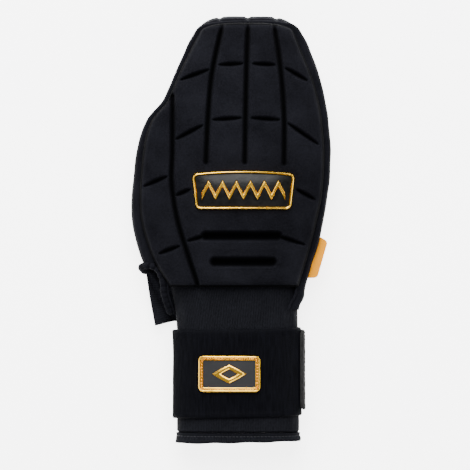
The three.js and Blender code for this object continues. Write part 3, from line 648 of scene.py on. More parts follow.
def make_shell_cloth(colour):
    """Smooth stretch cloth over foam: fine yarns, faint rubbed patches, and painted shade where a piece
    notes grooves, seams or folds.
    """
    cloth = Finish("shell_cloth", Sheen_Weight=0.004, Sheen_Roughness=0.5, Specular_IOR_Level=0.004)
    where = cloth.place("Object")
    patches = cloth.noise(where, 38, 4)
    grain = cloth.noise(where, 1000)
    # Painted shade: the noted share darkens the cloth down to a fifth of its colour.
    painted_shade = cloth.add("Attribute", {}, "Fac", attribute_name="painted_shade")
    outside_painted_shade = cloth.levels(painted_shade, 0.18, 0.62, 1.0, 0.0)
    mixed = cloth.times(cloth.total((patches, 0.5), (grain, 0.5)), outside_painted_shade)
    cloth.tone(mixed, colour, (0.0, 0.2), (0.36, 0.62), (0.64, 1.5))
    cloth.gloss(patches, 0.70, 0.52)
    yarns = cloth.times(cloth.bands(where, 0.55, "X", 0.6), cloth.bands(where, 0.5, "Y", 0.6))
    cloth.relief((yarns, 0.45, 0.10), (grain, 0.35, 0.10), (cloth.noise(where, 170), 0.25, 0.2))


def make_knit(name, colour):
    """Stretch knit of the cuff: fine lengthways ribs and rows of small loops."""
    knit = Finish(name, Roughness=0.7, Sheen_Weight=0.015, Sheen_Roughness=0.4, Specular_IOR_Level=0.02)
    where = knit.place("UV")
    ribs = knit.plus(knit.bands(where, 1.5, "X", 1.2), 0.35)
    loops = knit.times(ribs, knit.plus(knit.bands(where, 1.1, "Y", 1.4), 0.6))
    patches = knit.noise(knit.place("Object"), 55, 4)
    flecks = knit.noise(knit.place("UV", (1, 0.35, 1)), 900, 2)
    mixed = knit.total((loops, 0.25), (patches, 0.3), (flecks, 0.6))
    knit.tone(mixed, colour, (0.42, 0.35), (0.88, 2.0))
    knit.relief((loops, 0.7, 0.22), (patches, 0.2, 0.3))


def make_elastic(colour):
    """Woven elastic: deep black ribs with crosswise yarns."""
    elastic = Finish("woven_elastic", Roughness=0.6, Sheen_Weight=0.005, Specular_IOR_Level=0.02)
    yarns = elastic.bands(elastic.place("UV"), 0.45, "Y", 0.4)
    patches = elastic.noise(elastic.place("UV", (1, 0.06, 1)), 850)
    elastic.tone(elastic.total((yarns, 0.2), (patches, 0.8)), colour, (0.34, 0.6), (0.68, 2.0))
    elastic.relief((yarns, 0.45, 0.07), (patches, 0.2, 0.2))


def make_fleece(colour):
    """Brushed loop pile of the closure: grey fibres over a darker ground."""
    pile = Finish("brushed_pile", Roughness=0.95, Sheen_Weight=0.03, Sheen_Roughness=0.6,
                  Specular_IOR_Level=0.05)
    where = pile.place("Object")
    fibres = pile.noise(where, 1500, 4, 0.7)
    clumps = pile.noise(where, 320)
    pile.tone(pile.times(pile.plus(fibres, 0.1), pile.plus(clumps, 0.4)), colour, (0.28, 0.35), (0.72, 2.3))
    pile.relief((fibres, 0.8, 0.35), (clumps, 0.6, 0.4))


def make_gold(colour):
    """Moulded gold foil: bright, a little brushed, browner where it is worn."""
    gold = Finish("gold_foil", Metallic=1.0)
    wear = gold.noise(gold.place("Object"), 260)
    gold.tone(wear, colour, (0.30, 0.78), (0.52, 1), (0.85, 1.2))
    gold.gloss(wear, 0.28, 0.16)
    gold.relief((wear, 0.12, 0.06))


def make_badge_field(colour):
    """Glossy grained field of the back badge."""
    field = Finish("grained_field", Coat_Weight=0.07, Coat_Roughness=0.16, Specular_IOR_Level=0.1)
    where = field.place("Object")
    pebbles = field.add("TexVoronoi", {"Vector": where, "Scale": 950.0}, "Distance")
    blotches = field.noise(where, 210)
    field.tone(blotches, colour, (0.3, 0.6), (0.7, 2.2))
    field.gloss(blotches, 0.28, 0.46)
    field.relief((pebbles, 0.45, 0.16), (blotches, 0.35, 0.25))


def make_strap_field(colour):
    """Matt rubbery field of the strap badge."""
    field = Finish("matt_field", Roughness=0.5, Specular_IOR_Level=0.2)
    where = field.place("Object")
    grain = field.noise(where, 1700)
    mixed = field.total((grain, 0.4), (field.noise(where, 120), 0.6))
    field.tone(mixed, colour, (0.3, 0.8), (0.7, 1.25))
    field.relief((grain, 0.35, 0.06))


def make_tag_cloth(colour):
    """Woven satin of the side label: fine bright yarns."""
    satin = Finish("tag_satin", Roughness=0.6, Specular_IOR_Level=0.04)
    where = satin.place("UV")
    yarns = satin.total((satin.bands(where, 0.36, "X", 0.3), 0.6), (satin.bands(where, 0.5, "Y", 0.3), 0.4))
    satin.tone(yarns, colour, (0.1, 0.72), (0.8, 1.12))
    satin.relief((yarns, 0.5, 0.06))


def make_thread(colour):
    """Twisted sewing thread."""
    thread = Finish("thread", Roughness=0.6, Sheen_Weight=0.04, Specular_IOR_Level=0.25)
    twist = thread.bands(thread.place("Object", turn=0.7), 0.3, "X", 0.2)
    thread.tone(twist, colour, (0.2, 1.6), (0.8, 4))
    thread.relief((twist, 0.5, 0.06))


def pressed(share, power):
    """A groove's section: 1 on its rounded core, 0 at its edge."""
    core = 0.16
    soft = (np.sqrt(share ** 2 + core ** 2) - core) / (math.sqrt(1 + core ** 2) - core)
    return np.clip(1 - soft, 0, 1) ** power


def grooves_at(pad, x, y):
    """How deep the back is pressed in at each place, and how near the closest groove is."""
    half = pad.groove_width / 2
    depth = np.zeros(x.shape)
    nearest = np.full(x.shape, 1e9)
    for route in LONG_GROOVES:
        away = distance_to(x, y, smooth_route([(a * HALF_PAD, b * PAD_LENGTH) for a, b in route]))
        fade = mix(0.25, 1, ease(PAD_LENGTH - y, 0, 8 * MM))
        depth = np.maximum(depth, pad.groove_depth * pressed(away / half, 1.4) * fade)
        nearest = np.minimum(nearest, away)
    for route in SHORT_GROOVES:
        (ax, ay), (bx, by) = ends = [(a * HALF_PAD, b * PAD_LENGTH) for a, b in route]
        away = distance_to(x, y, ends)
        share = ((x - ax) * (bx - ax) + (y - ay) * (by - ay)) / math.hypot(bx - ax, by - ay) ** 2
        narrow = half * mix(0.42, 0.92, np.sin(math.pi * np.clip(share, 0, 1)) ** 0.6)
        depth = np.maximum(depth, 0.85 * pad.groove_depth * pressed(away / narrow, 1.3) * narrow / half)
        nearest = np.minimum(nearest, away)
    reach = pad.slot_width / 2
    for (x0, along), (x1, _) in WIDE_SLOTS:
        line = [(x0 * HALF_PAD + reach, along * PAD_LENGTH), (x1 * HALF_PAD - reach, along * PAD_LENGTH)]
        away = distance_to(x, y, line)
        depth = np.maximum(depth, pad.slot_depth * pressed(away / reach, 1.2))
        nearest = np.minimum(nearest, np.maximum(away - reach, 0))
    return depth, nearest


class MITT_OT_stage(bpy.types.Operator):
    """Set the camera, the soft lights and the pale floor"""
    bl_idname = "mitt.stage"
    bl_label = "Stage"

    def execute(self, context):
        deselect()
        bpy.ops.object.camera_add(location=CAMERA_SPOT, rotation=(0, 0, 0))
        camera = take_name("camera")
        camera.data.sensor_width = SENSOR
        camera.data.lens = LENS
        camera.data.clip_start = 0.05
        context.scene.camera = camera
        bpy.ops.mesh.primitive_plane_add(size=FLOOR_SIZE, location=(0, 0, FLOOR_LEVEL))
        floor = take_name("floor")
        paper = Finish("pale_paper", Roughness=0.9, Specular_IOR_Level=0.1,
                       Emission_Color=(1, 1, 1, 1), Emission_Strength=FLOOR_GLOW)
        paper.tone(paper.noise(paper.place("Object"), 3, 2), (1, 1, 1), (0.3, 0.93), (0.7, 0.96))
        floor.data.materials.append(paper.material)
        for name, place, size, power in LIGHTS:
            toward = Vector(LIGHT_TARGET) - Vector(place)
            deselect()
            bpy.ops.object.light_add(
                type="AREA", location=place, rotation=toward.to_track_quat("-Z", "Y").to_euler())
            lamp = take_name(name)
            lamp.data.size = size
            lamp.data.energy = power
        world = bpy.data.worlds.new("soft_grey")
        world.use_nodes = True
        world.node_tree.nodes["Background"].inputs["Color"].default_value = (1, 1, 1, 1)
        world.node_tree.nodes["Background"].inputs["Strength"].default_value = WORLD_LIGHT
        context.scene.world = world
        return {"FINISHED"}


class MITT_OT_back_pad(bpy.types.Operator):
    """Build the moulded foam pad over the back of the hand, with its sewn grooves and slots"""
    bl_idname = "mitt.back_pad"
    bl_label = "Back Pad"

    def execute(self, context):
        pad = context.scene.mitt_pad

        def side(u, v, outer):
            across = denser_ends(2 * u - 1)
            along = (denser_ends(2 * v - 1, 0.06) + 1) / 2
            x, y = plan_place(across, along)
            if not outer:
                return stack(x, y, edge_height(along) + BACK_CROWN * crown(across))
            height = back_top(pad.shoulder, across, along)
            depth, nearest = grooves_at(pad, x, y)
            edge = ease(height - edge_height(along), 2.5 * MM, 5 * MM)
            swell = pad.puff * (1 - hill(nearest, 0, 5 * MM)) * edge
            gathers = 0.10 * MM * uneven(x, y, 7 * MM, 4) * np.exp(-nearest / (6 * MM))
            wrinkles = 0.12 * MM * uneven(x, y, 24 * MM, 7)
            height = height + swell + (gathers + wrinkles) * edge
            return stack(x, y, height - depth * np.clip(edge + 0.35, 0, 1))

        piece = wall("mitt_back_pad", 236, 326, side, (2 * HALF_PAD, PAD_LENGTH), keep_inside=0.06)
        x, y, _ = (points_of(piece) - (MIDDLE_X, WRIST_Y, 0)).T
        across, _, half_width = shares_at(x, y)
        from_end = np.minimum(y, PAD_LENGTH - TIP_BOW * across ** 4 - y)
        from_edge = np.minimum((1 - np.abs(across)) * half_width, from_end)
        # Painted shade: the cloth is darkened in the grooves and slots and in a band along the pad's edge
        # seam, where shade falls.
        seam = 1 - ease(from_edge, 0.5 * MM, 2.4 * MM)
        depth, _ = grooves_at(pad, x, y)
        note_painted_shade(piece, np.maximum(depth / pad.slot_depth, seam))
        dress(piece, "shell_cloth", "shell_fabric", "back_pad")
        return {"FINISHED"}


class MITT_OT_palm_pad(bpy.types.Operator):
    """Build the palm pad, its front turned up as a scalloped lip round the fingertips"""
    bl_idname = "mitt.palm_pad"
    bl_label = "Palm Pad"

    def execute(self, context):
        bend = PAD_LENGTH + LIP_REACH - LIP_RADIUS
        arc = LIP_RADIUS * math.pi / 2
        whole = bend + arc + LIP_HEIGHT - LIP_RADIUS

        def side(u, v, outer):
            across = denser_ends(2 * u - 1)
            run = v * whole
            turned = np.clip((run - bend) / arc, 0, 1)
            turn = turned * math.pi / 2
            y = np.minimum(run, bend) + LIP_RADIUS * np.sin(turn)
            z = LIP_RADIUS - LIP_RADIUS * np.cos(turn) + np.maximum(0, run - bend - arc)
            ends = round_off(np.minimum(run, whole - run) / LIP_EDGE)
            thickness = mix(PALM_THICKNESS, LIP_THICKNESS, turned)
            along = np.minimum(y / PAD_LENGTH, 1)
            x, plan_y = plan_place(across, along, 3)
            bow = along * PAD_LENGTH - plan_y
            bow = bow + 1.9 * MM * np.abs(across) ** 5 * ease(along, 0.93, 1)
            slim = thickness / PALM_THICKNESS
            low = 3 * MM * slim * np.maximum(0, (np.abs(across) - 0.7) / 0.3) ** 2
            high = thickness - MM * slim * np.abs(across) ** 4
            depth = mix((low + high) / 2, low if outer else high, mix(0.45, 1, ends))
            if outer:
                for groove in PALM_GROOVES:
                    away = np.abs(x - read(groove, 1, along) * HALF_PAD)
                    start = groove[0][0] * PAD_LENGTH
                    started = ease(run, start - 3 * MM, start + 3 * MM)
                    scallop = SCALLOP_DEPTH * mix(1, 0.62, turn)
                    depth = depth + scallop * ease(-away, -2.6 * MM, -0.3 * MM) * started
                depth = depth + 0.1 * MM * (1 + uneven(x, y, 20 * MM, 15)) * (z > 0)
            x = x + (1.5 + 1.2 * np.maximum(across, 0) ** 2) * MM * across
            y = y + LIP_PUSH * turned - LIP_LEAN * np.maximum(0, z - LIP_RADIUS)
            return stack(x, y - bow - depth * np.sin(turn), z + depth * np.cos(turn))

        piece = wall("mitt_palm_pad", 170, 230, side, (2 * HALF_PAD, whole), keep_inside=0.1)
        dress(piece, "shell_cloth", "shell_fabric", "palm_pad")
        return {"FINISHED"}


def seam_line(count):
    """The line of the side seam from the thumb round the fingertips, evenly spaced."""
    start = max(stop[1] for stop in BINDING_ROUTE) + 2.5 * MM / PAD_LENGTH
    thumb, tip, little = 400, 120, 430
    across = np.concatenate([-np.ones(thumb), np.linspace(-1, 1, tip), np.ones(little)])
    along = [np.linspace(start, 1, thumb), np.ones(tip), np.linspace(1, GUSSET_END, little)]
    along = np.concatenate(along)
    x, y = plan_place(across, along)
    keep = np.concatenate([[True], np.hypot(np.diff(x), np.diff(y)) > 1e-7])
    x, y = x[keep], y[keep]
    run = run_along(x, y)
    even = np.linspace(0, run[-1], count)
    x, y = np.interp(even, run, x), np.interp(even, run, y)
    window = 9
    kernel = np.hanning(window + 2)[1:-1]
    kernel /= kernel.sum()
    inner = slice(window // 2, -(window // 2))
    x[inner] = np.convolve(x, kernel, "valid")
    y[inner] = np.convolve(y, kernel, "valid")
    return x, y, run[-1]


class MITT_OT_side_gusset(bpy.types.Operator):
    """Build the soft side wall from the thumb round the fingertips to the little finger"""
    bl_idname = "mitt.side_gusset"
    bl_label = "Side Gusset"

    def execute(self, context):
        cloth = context.scene.mitt_cloth
        count = 760
        line_x, line_y, length = seam_line(count + 1)
        forward_x, forward_y = np.gradient(line_x), np.gradient(line_y)
        size = np.hypot(forward_x, forward_y)
        out_x, out_y = -forward_y / size, forward_x / size

        def side(u, v, outer):
            inward = 0 if outer else GUSSET_WALL
            i = np.rint(u * count).astype(int)
            angle = GUSSET_HALF_TURN * (1 - 2 * v)
            along = np.clip(line_y[i] / PAD_LENGTH, -0.1, 1)
            tip = ease(along, 0.9, 1)
            bulge = mix(GUSSET_BULGE, LIP_REACH - LIP_THICKNESS - 2 * GAP, tip)
            side_share = ease(line_x[i], -30 * MM, 45 * MM)
            spread = mix(read(GUSSET_SPREAD, 1, along), read(GUSSET_SPREAD, 2, along), side_share)
            bulge = bulge + MM * spread
            low = PALM_EDGE_TOP + GAP + tip * 2.2 * MM
            high = edge_height(along) - GAP
            run = u * length
            seam = hill(angle, 1.35, 0.5) + hill(angle, -1.35, 0.5)
            gathers = cloth.pucker * seam * wave(run, 4.3 * MM, 2 * np.sin(run / (11 * MM)))
            folds = 0.30 * MM * uneven(run, angle * 9 * MM, 26 * MM, 21)
            grow = (gathers + folds) * (1 - 0.6 * tip)
            half = (high - low) / 2 - inward
            tail = ease(line_y[i], -18 * MM, -5 * MM)
            tucked = hill(angle, 1.32, 0.3) * (1 - 0.5 * tip)
            reach = (bulge - inward + grow) * np.cos(angle) - 4 * MM * (1 - tail) - 1.2 * MM * tucked
            height = (low + high) / 2 + half * np.sin(angle) - 2.8 * MM * tucked
            return stack(line_x[i] + out_x[i] * reach, line_y[i] + out_y[i] * reach, height)

        piece = wall("mitt_side_gusset", count, 36, side, (length, GUSSET_CUT), keep_inside=0.25)
        dress(piece, "shell_cloth", "shell_fabric", "side_gusset")
        return {"FINISHED"}


def bent(value):
    return np.sign(value) * np.abs(value) ** (2 / CUFF_ROUNDNESS)


def turn_at(share):
    """The angle round the cuff at an even share of its girth."""
    turn = np.linspace(0, math.tau, 7201)
    run = run_along(CUFF_HALF_WIDTH * bent(np.cos(turn)), CUFF_HALF_HEIGHT * bent(np.sin(turn)))
    return np.interp(share, run / run[-1], turn)


def cuff_section(distance, offset):
    """The section round the wrist at a distance from the pads: its middle and its half sizes."""
    share = np.clip(distance / CUFF_LENGTH, -0.05, 1)
    left, right = read(CUFF_SIDES, 1, share), read(CUFF_SIDES, 2, share)
    centre = CUFF_CENTRE + (left + right) / 4 * CUFF_WIDTH
    reach = (right - left) / 4 * CUFF_WIDTH + offset
    return centre, reach, (CUFF_TOP - CUFF_BOTTOM) / 2 + offset


def sleeve(turn, distance, offset):
    """A place on the sleeve round the wrist that stands outside the cuff by offset."""
    centre, reach, half = cuff_section(distance, offset)
    x = centre + reach * bent(np.cos(turn))
    return x, -distance, (CUFF_TOP + CUFF_BOTTOM) / 2 + half * bent(np.sin(turn))


def loop_profile(outer_rows, edge_rows, inner_rows):
    """Shares round a flat band's section: where along it, and where through its thickness."""
    edge = np.arange(1, edge_rows) / edge_rows
    along = [np.linspace(0, 1, outer_rows + 1), edge * 0 + 1, np.linspace(1, 0, inner_rows + 1), edge * 0]
    through = [np.ones(outer_rows + 1), 1 - edge, np.zeros(inner_rows + 1), edge]
    return np.concatenate(along), np.concatenate(through)


def rounded_ends(along, through, thickness):
    """Rounds the two ends of a band: how far each place is pulled in."""
    at_end = np.minimum(along, 1 - along) < 1e-8
    pull = np.where(at_end, 1 - np.sqrt(np.clip(1 - (2 * through - 1) ** 2, 0, 1)), 0) * thickness / 2
    return np.where(along < 0.5, pull, -pull)


class MITT_OT_cuff(bpy.types.Operator):
    """Build the knitted cuff round the wrist"""
    bl_idname = "mitt.cuff"
    bl_label = "Cuff"

    def execute(self, context):
        end = CUFF_LENGTH - HEM_LENGTH - GAP
        along, through = loop_profile(88, 4, 16)
        around = 420

        def shape(i, j):
            turn = turn_at(i / around)
            start = mix(GAP, -CUFF_TUCK, ease(np.sin(turn), 0.0, 0.25))
            distance = mix(start, end, along[j])
            distance += rounded_ends(along[j], through[j], CUFF_WALL)
            x, y, z = sleeve(turn, distance, (through[j] - 1) * CUFF_WALL)
            run = i / around * CUFF_GIRTH
            drape = ease(distance, 0, 12 * MM) * ease(-distance, -end, -(end - 8 * MM))
            folds = 0.32 * MM * uneven(run, distance * 0.6, 30 * MM, 31)
            folds += 0.16 * MM * wave(run, CUFF_GIRTH / 23, 3 * np.sin(distance / (30 * MM)))
            shift = folds * drape * through[j]
            return stack(x + shift * np.cos(turn), y, z + shift * np.sin(turn))

        piece = ring("mitt_cuff", around, len(along), shape, (CUFF_GIRTH, 2 * end))
        dress(piece, "ribbed_knit", "cuff_knit", "cuff")
        self.hem()
        self.stitch_row(context.scene.mitt_cloth.stitch)
        return {"FINISHED"}

    def hem(self):
        """The folded hem, rolled at its end, with a fold line at its start."""
        along, through = loop_profile(22, 5, 8)
        around = 380
        start = CUFF_LENGTH - HEM_LENGTH

        def shape(i, j):
            turn = turn_at(i / around)
            run = i / around * CUFF_GIRTH
            slope = -0.9 * MM * bent(np.cos(turn)) + 0.25 * MM * wave(run, 31 * MM)
            last = CUFF_LENGTH + slope - 0.4 * MM
            distance = mix(start, last, along[j])
            distance += rounded_ends(along[j], through[j], 3.2 * MM)
            from_start = distance - start
            roll = hill(distance - last, -1.5 * MM, 1.6 * MM)
            ditch = hill(from_start, 2.3 * MM, 0.8 * MM)
            puckers = 0.14 * MM * wave(run, 3.1 * MM) * hill(from_start, 3.4 * MM, 1.8 * MM)
            offset = mix(-CUFF_WALL - 0.7 * MM, 0.7 * MM, through[j])
            offset = offset + through[j] * (0.45 * MM * roll - 0.45 * MM * ditch + puckers - 0.25 * MM)
            return stack(*sleeve(turn, distance, offset))

        piece = ring("mitt_cuff_hem", around, len(along), shape, (CUFF_GIRTH, 18 * MM))
        return dress(piece, "ribbed_knit", "cuff_knit", "cuff_hem")

    def stitch_row(self, stitch):
        """One row of stitches round the hem."""
        count = int(CUFF_GIRTH / (stitch * 1.35))
        turn = turn_at((np.arange(count) + 0.5) / count)
        distance = np.full(count, CUFF_LENGTH - HEM_LENGTH + 2.3 * MM)
        places = stack(*sleeve(turn, distance, 0.15 * MM))
        ahead = stack(*sleeve(turn + 0.01, distance, 0.15 * MM)) - places
        outside = stack(*sleeve(turn, distance, 2 * MM)) - places
        piece = sew("mitt_hem_stitches", places, ahead, outside, stitch, 0.55 * MM, 0.5 * MM)
        return dress(piece, "thread", "cuff_knit")


class MITT_OT_wrist_strap(bpy.types.Operator):
    """Build the wide ribbed elastic strap and its fuzzy closure"""
    bl_idname = "mitt.wrist_strap"
    bl_label = "Wrist Strap"

    def execute(self, context):
        cloth = context.scene.mitt_cloth
        around = int(STRAP_GIRTH / cloth.rib_pitch) * 4
        along, through = loop_profile(20, 3, 3)
        rib_shape = np.array([0.0, 0.75, 1.0, 0.75])

        def shape(i, j):
            turn = turn_at(i / around)
            distance = mix(STRAP_START, STRAP_START + STRAP_LENGTH, along[j])
            distance += rounded_ends(along[j], through[j], STRAP_THICKNESS)
            from_edge = np.minimum(along[j], 1 - along[j]) * STRAP_LENGTH
            selvedge = hill(from_edge, 1.0 * MM, 0.9 * MM)
            rib = -cloth.rib_depth * (1 - rib_shape[i % 4]) * ease(from_edge, 1.0 * MM, 2.6 * MM)
            soft = 0.12 * MM * uneven(i / around * STRAP_GIRTH, distance, 30 * MM, 41)
            offset = mix(GAP, GAP + STRAP_THICKNESS, through[j])
            offset = offset + through[j] * (rib + soft + 0.16 * MM * selvedge - 0.1 * MM)
            x, y, z = sleeve(turn, distance, offset)
            loose = 1.3 * MM * ease(-x, 0, 38 * MM)
            return stack(x - loose, y + x / CUFF_WIDTH * cloth.slant, z)

        cut = (STRAP_GIRTH, 2.1 * STRAP_LENGTH)
        piece = ring("mitt_wrist_strap", around, len(along), shape, cut, angle=70)
        dress(piece, "woven_elastic", "strap_elastic", "wrist_strap")
        self.closure(cloth.slant)
        return {"FINISHED"}

    def closure(self, slant):
        """The fuzzy closure at the strap's end, from the little-finger side round to the palm."""
        start = STRAP_START + 2 * MM
        end = STRAP_START + STRAP_LENGTH - 4 * MM
        corner = 5 * MM
        inner = GAP + STRAP_THICKNESS + GAP
        outside = inner + TAB_THICKNESS
        turns = np.linspace(-math.pi / 2, math.pi / 2, 4001)
        x, y, z = sleeve(turns, np.full_like(turns, (start + end) / 2), outside)
        wanted = turns[(x > 5 * MM) & (z < TAB_TOP)]
        run = run_along(np.interp(wanted, turns, x), np.interp(wanted, turns, z))

        def side(u, v, outer):
            near_u = np.minimum(u, 1 - u) * run[-1]
            cut = corner * (1 - round_off(near_u / corner))
            distance = mix(start + cut, end - cut, v)
            rim = round_off(np.minimum(near_u, np.minimum(v, 1 - v) * (end - start)) / (1.2 * MM))
            fuzz = 0.22 * MM * uneven(u * run[-1], distance, 2.1 * MM, 51) * rim
            fuzz += 0.16 * MM * uneven(u * run[-1], distance, 6 * MM, 52) * rim
            offset = mix((inner + outside) / 2, outside - 0.2 * MM + fuzz if outer else inner, rim)
            x, y, z = sleeve(np.interp(u * run[-1], run, wanted), distance, offset)
            return stack(x, y + x / CUFF_WIDTH * slant, np.maximum(z, 0.02 * MM))

        piece = wall("mitt_closure_tab", 110, 110, side, (run[-1], end - start), keep_inside=0.2)
        return dress(piece, "brushed_pile", "closure_fleece", "closure_tab")


class MITT_OT_heel_panel(bpy.types.Operator):
    """Build the thin heel panel below the thumb and the rolled binding of the opening"""
    bl_idname = "mitt.heel_panel"
    bl_label = "Heel Panel and Binding"

    def execute(self, context):
        def side(u, v, outer):
            left = read(PANEL_SIDES, 1, v) * HALF_PAD - 1.6 * MM - 1.6 * MM * (1 - v)
            x = mix(left, read(PANEL_SIDES, 2, v) * HALF_PAD, u ** 1.7)
            visible = ease(-x, 40 * MM, 46 * MM)
            last = -PANEL_LENGTH - 2.2 * MM * ease(-x, 46 * MM, 58 * MM)
            y = mix(mix(-GAP, PANEL_RISE, visible), last, v)
            outside = np.maximum(0, CUFF_CENTRE - CUFF_WIDTH / 2 - CUFF_TUCK - x) / PANEL_CURL_WIDTH
            z = CUFF_BOTTOM - GAP + PANEL_CURL * np.minimum(outside, 1) ** 1.5
            above = PALM_THICKNESS + 0.6 * MM + PANEL_THICKNESS
            z = mix(z, np.maximum(z, above), ease(y, -7 * MM, -GAP))
            crease = distance_to(x, y, PANEL_CREASE)
            z = z + visible * (1.1 * MM * hill(crease, 4.2 * MM, 2.2 * MM)
                               - 2.2 * MM * hill(crease, 0, 1.9 * MM))
            z = z + visible * 0.15 * MM * uneven(x, y, 9 * MM, 61)
            return stack(x, y, z - (0 if outer else PANEL_THICKNESS))

        panel = wall("mitt_heel_panel", 150, 46, side, (103 * MM, PANEL_LENGTH))
        # Painted light: the heel panel takes the lightened copy of the knit.
        dress(panel, "painted_light_knit", "cuff_knit", "heel_panel")
        self.binding()
        self.edge_cord()
        return {"FINISHED"}

    def route(self, shift_x=0.0, shift_z=0.0):
        stops = [(a * HALF_PAD + shift_x, b * PAD_LENGTH, PALM_EDGE_TOP + c * SIDE_HEIGHT + shift_z)
                 for a, b, c in BINDING_ROUTE]
        return stack(*smooth_route(stops, 24).T)

    def binding(self):
        """The rolled binding, gathered where it turns over the thumb side."""
        def gathers(run, turn):
            close = hill(run, 16 * MM, 13 * MM)
            twist = 1.3 * np.sin(turn) + 1.1 * np.sin(run / (4.1 * MM))
            return (0.055 + 0.09 * close) * wave(run, 4.8 * MM, twist) + 0.6 * hill(run, 5 * MM, 4.5 * MM)
        piece = rod("mitt_thumb_binding", self.route(), 2.45 * MM, 20, gathers)
        return dress(piece, "shell_cloth", "shell_fabric", "thumb_binding")

    def edge_cord(self):
        """The second, thinner seam roll that runs beside the binding."""
        piece = rod("mitt_thumb_seam", self.route(3.2 * MM, 0.5 * MM)[64:], 0.8 * MM, 10)
        return dress(piece, "shell_cloth", "shell_fabric")


def badge_sizes(badge, inset):
    """A badge's half widths at its top and bottom and its half height, inside an inset."""
    top = badge["width"] / 2 - inset
    return top, badge["width"] / 2 - badge["taper"] - inset, badge["height"] / 2 - inset


def badge_line(badge, inset, count):
    """Evenly divided outline of a badge, its top edge arched and wider than its bottom."""
    x0, y0 = badge["place"]
    top, bottom, rise = badge_sizes(badge, inset)
    radius = max(badge["corner"] - inset, 0.2 * badge["corner"])
    low, high = y0 - rise, y0 + rise - badge["arch"]
    corners = (
        ((x0 - bottom + radius, low), None), ((x0 + bottom - radius, low), None),
        ((x0 + bottom, low + radius), (x0 + bottom, low)), ((x0 + top, high - radius), None),
        ((x0 + top - radius, high), (x0 + top, high)),
        ((x0 - top + radius, high), (x0, high + 2 * badge["arch"])),
        ((x0 - top, high - radius), (x0 - top, high)), ((x0 - bottom, low + radius), None),
        ((x0 - bottom + radius, low), (x0 - bottom, low)),
    )
    shares = np.array([0.31, 0.035, 0.09, 0.035, 0.31, 0.035, 0.09, 0.035])
    steps = np.maximum(np.rint(shares / shares.sum() * count).astype(int), 5)
    steps[0] += count - steps.sum()
    points = []
    for (start, _), (end, control), step in zip(corners[:-1], corners[1:], steps):
        t = np.arange(step)[:, None] / step
        start, end = np.array(start), np.array(end)
        control = (start + end) / 2 if control is None else np.array(control)
        points.append((1 - t) ** 2 * start + 2 * t * (1 - t) * control + t * t * end)
    return np.concatenate(points)


def badge_rim(name, badge, level, profile):
    """A badge's rim: a band round its outline whose section follows profile's insets and heights."""
    around = 360
    lines = np.stack([badge_line(badge, inset, around) for inset, _ in profile])
    heights = np.array([height for _, height in profile])

    def shape(i, j):
        x, y = lines[j, i, 0], lines[j, i, 1]
        return stack(x, y, level(x, y) + heights[j])

    piece = ring(f"mitt_{name}_rim", around, len(profile), shape, (0.2, 8 * MM), angle=60)
    return dress(piece, "gold_foil", "gold_trim", f"{name}_rim")


def badge_plate(name, badge, level, inset, high, columns, rows, dome):
    """A badge's field, its edges tucked under the rim."""
    x0, y0 = badge["place"]
    top, bottom, rise = badge_sizes(badge, inset)

    def side(u, v, outer):
        across = 2 * u - 1
        x = x0 + across * mix(bottom, top, v)
        y = y0 - rise + v * (2 * rise - badge["arch"] + badge["arch"] * (1 - across ** 2))
        bulge = dome * (1 - across ** 4) * (1 - (2 * v - 1) ** 2)
        return stack(x, y, level(x, y) + (high + bulge if outer else 0.1 * MM))

    return wall(f"mitt_{name}_plate", columns, rows, side, angle=40)


class MITT_OT_back_badge(bpy.types.Operator):
    """Build the raised badge on the back pad: gold rim, grained field and gold zigzag"""
    bl_idname = "mitt.back_badge"
    bl_label = "Back Badge"

    def execute(self, context):
        shoulder = context.scene.mitt_pad.shoulder

        def level(x, y):
            across, along, _ = shares_at(x, y)
            return back_top(shoulder, across, along) + 0.5 * MM

        rim = BACK_BADGE["rim"]
        section = [(t * rim, 0.3 * MM + 3.0 * MM * (1 - abs(2 * t - 1) ** 2.2))
                   for t in (0, 0.04, 0.1, 0.2, 0.33, 0.5, 0.67, 0.8, 0.9, 0.96, 1)]
        section += [(rim, 0.3 * MM), (0.5 * rim, 0.1 * MM)]
        badge_rim("back_badge", BACK_BADGE, level, section)
        piece = badge_plate(
            "back_badge", BACK_BADGE, level, rim - 0.3 * MM, 1.0 * MM, 120, 50, dome=1.4 * MM)
        dress(piece, "grained_field", "badge_field", "back_badge_plate")
        self.zigzag(level)
        return {"FINISHED"}

    def zigzag(self, level):
        """A raised zigzag band, bevelled along both edges."""
        peaks, height, band = 6, 15 * MM, 5.6 * MM
        length = BACK_BADGE["width"] - 2 * (BACK_BADGE["rim"] + 4.2 * MM)
        x0, y0 = BACK_BADGE["place"]

        def side(u, v, outer):
            peak = 1 - np.abs(((u * peaks) % 1) - 0.5) * 2
            peak = mix(peak, ease(peak, 0, 1), 0.25)
            x = x0 + (u - 0.5) * length
            across = 2 * v - 1
            y = y0 + (peak - 0.5) * (height - band) + across * band / 2
            near = np.minimum(1 - np.abs(across), np.minimum(u, 1 - u) * length / (band / 2))
            raised = 2.3 * MM + 1.2 * MM * round_off(near / 0.85)
            return stack(x, y, level(x, y) + (raised if outer else 1.5 * MM))

        piece = wall("mitt_back_badge_zigzag", 288, 16, side, angle=35)
        dress(piece, "gold_foil", "gold_trim", "back_badge_motif")


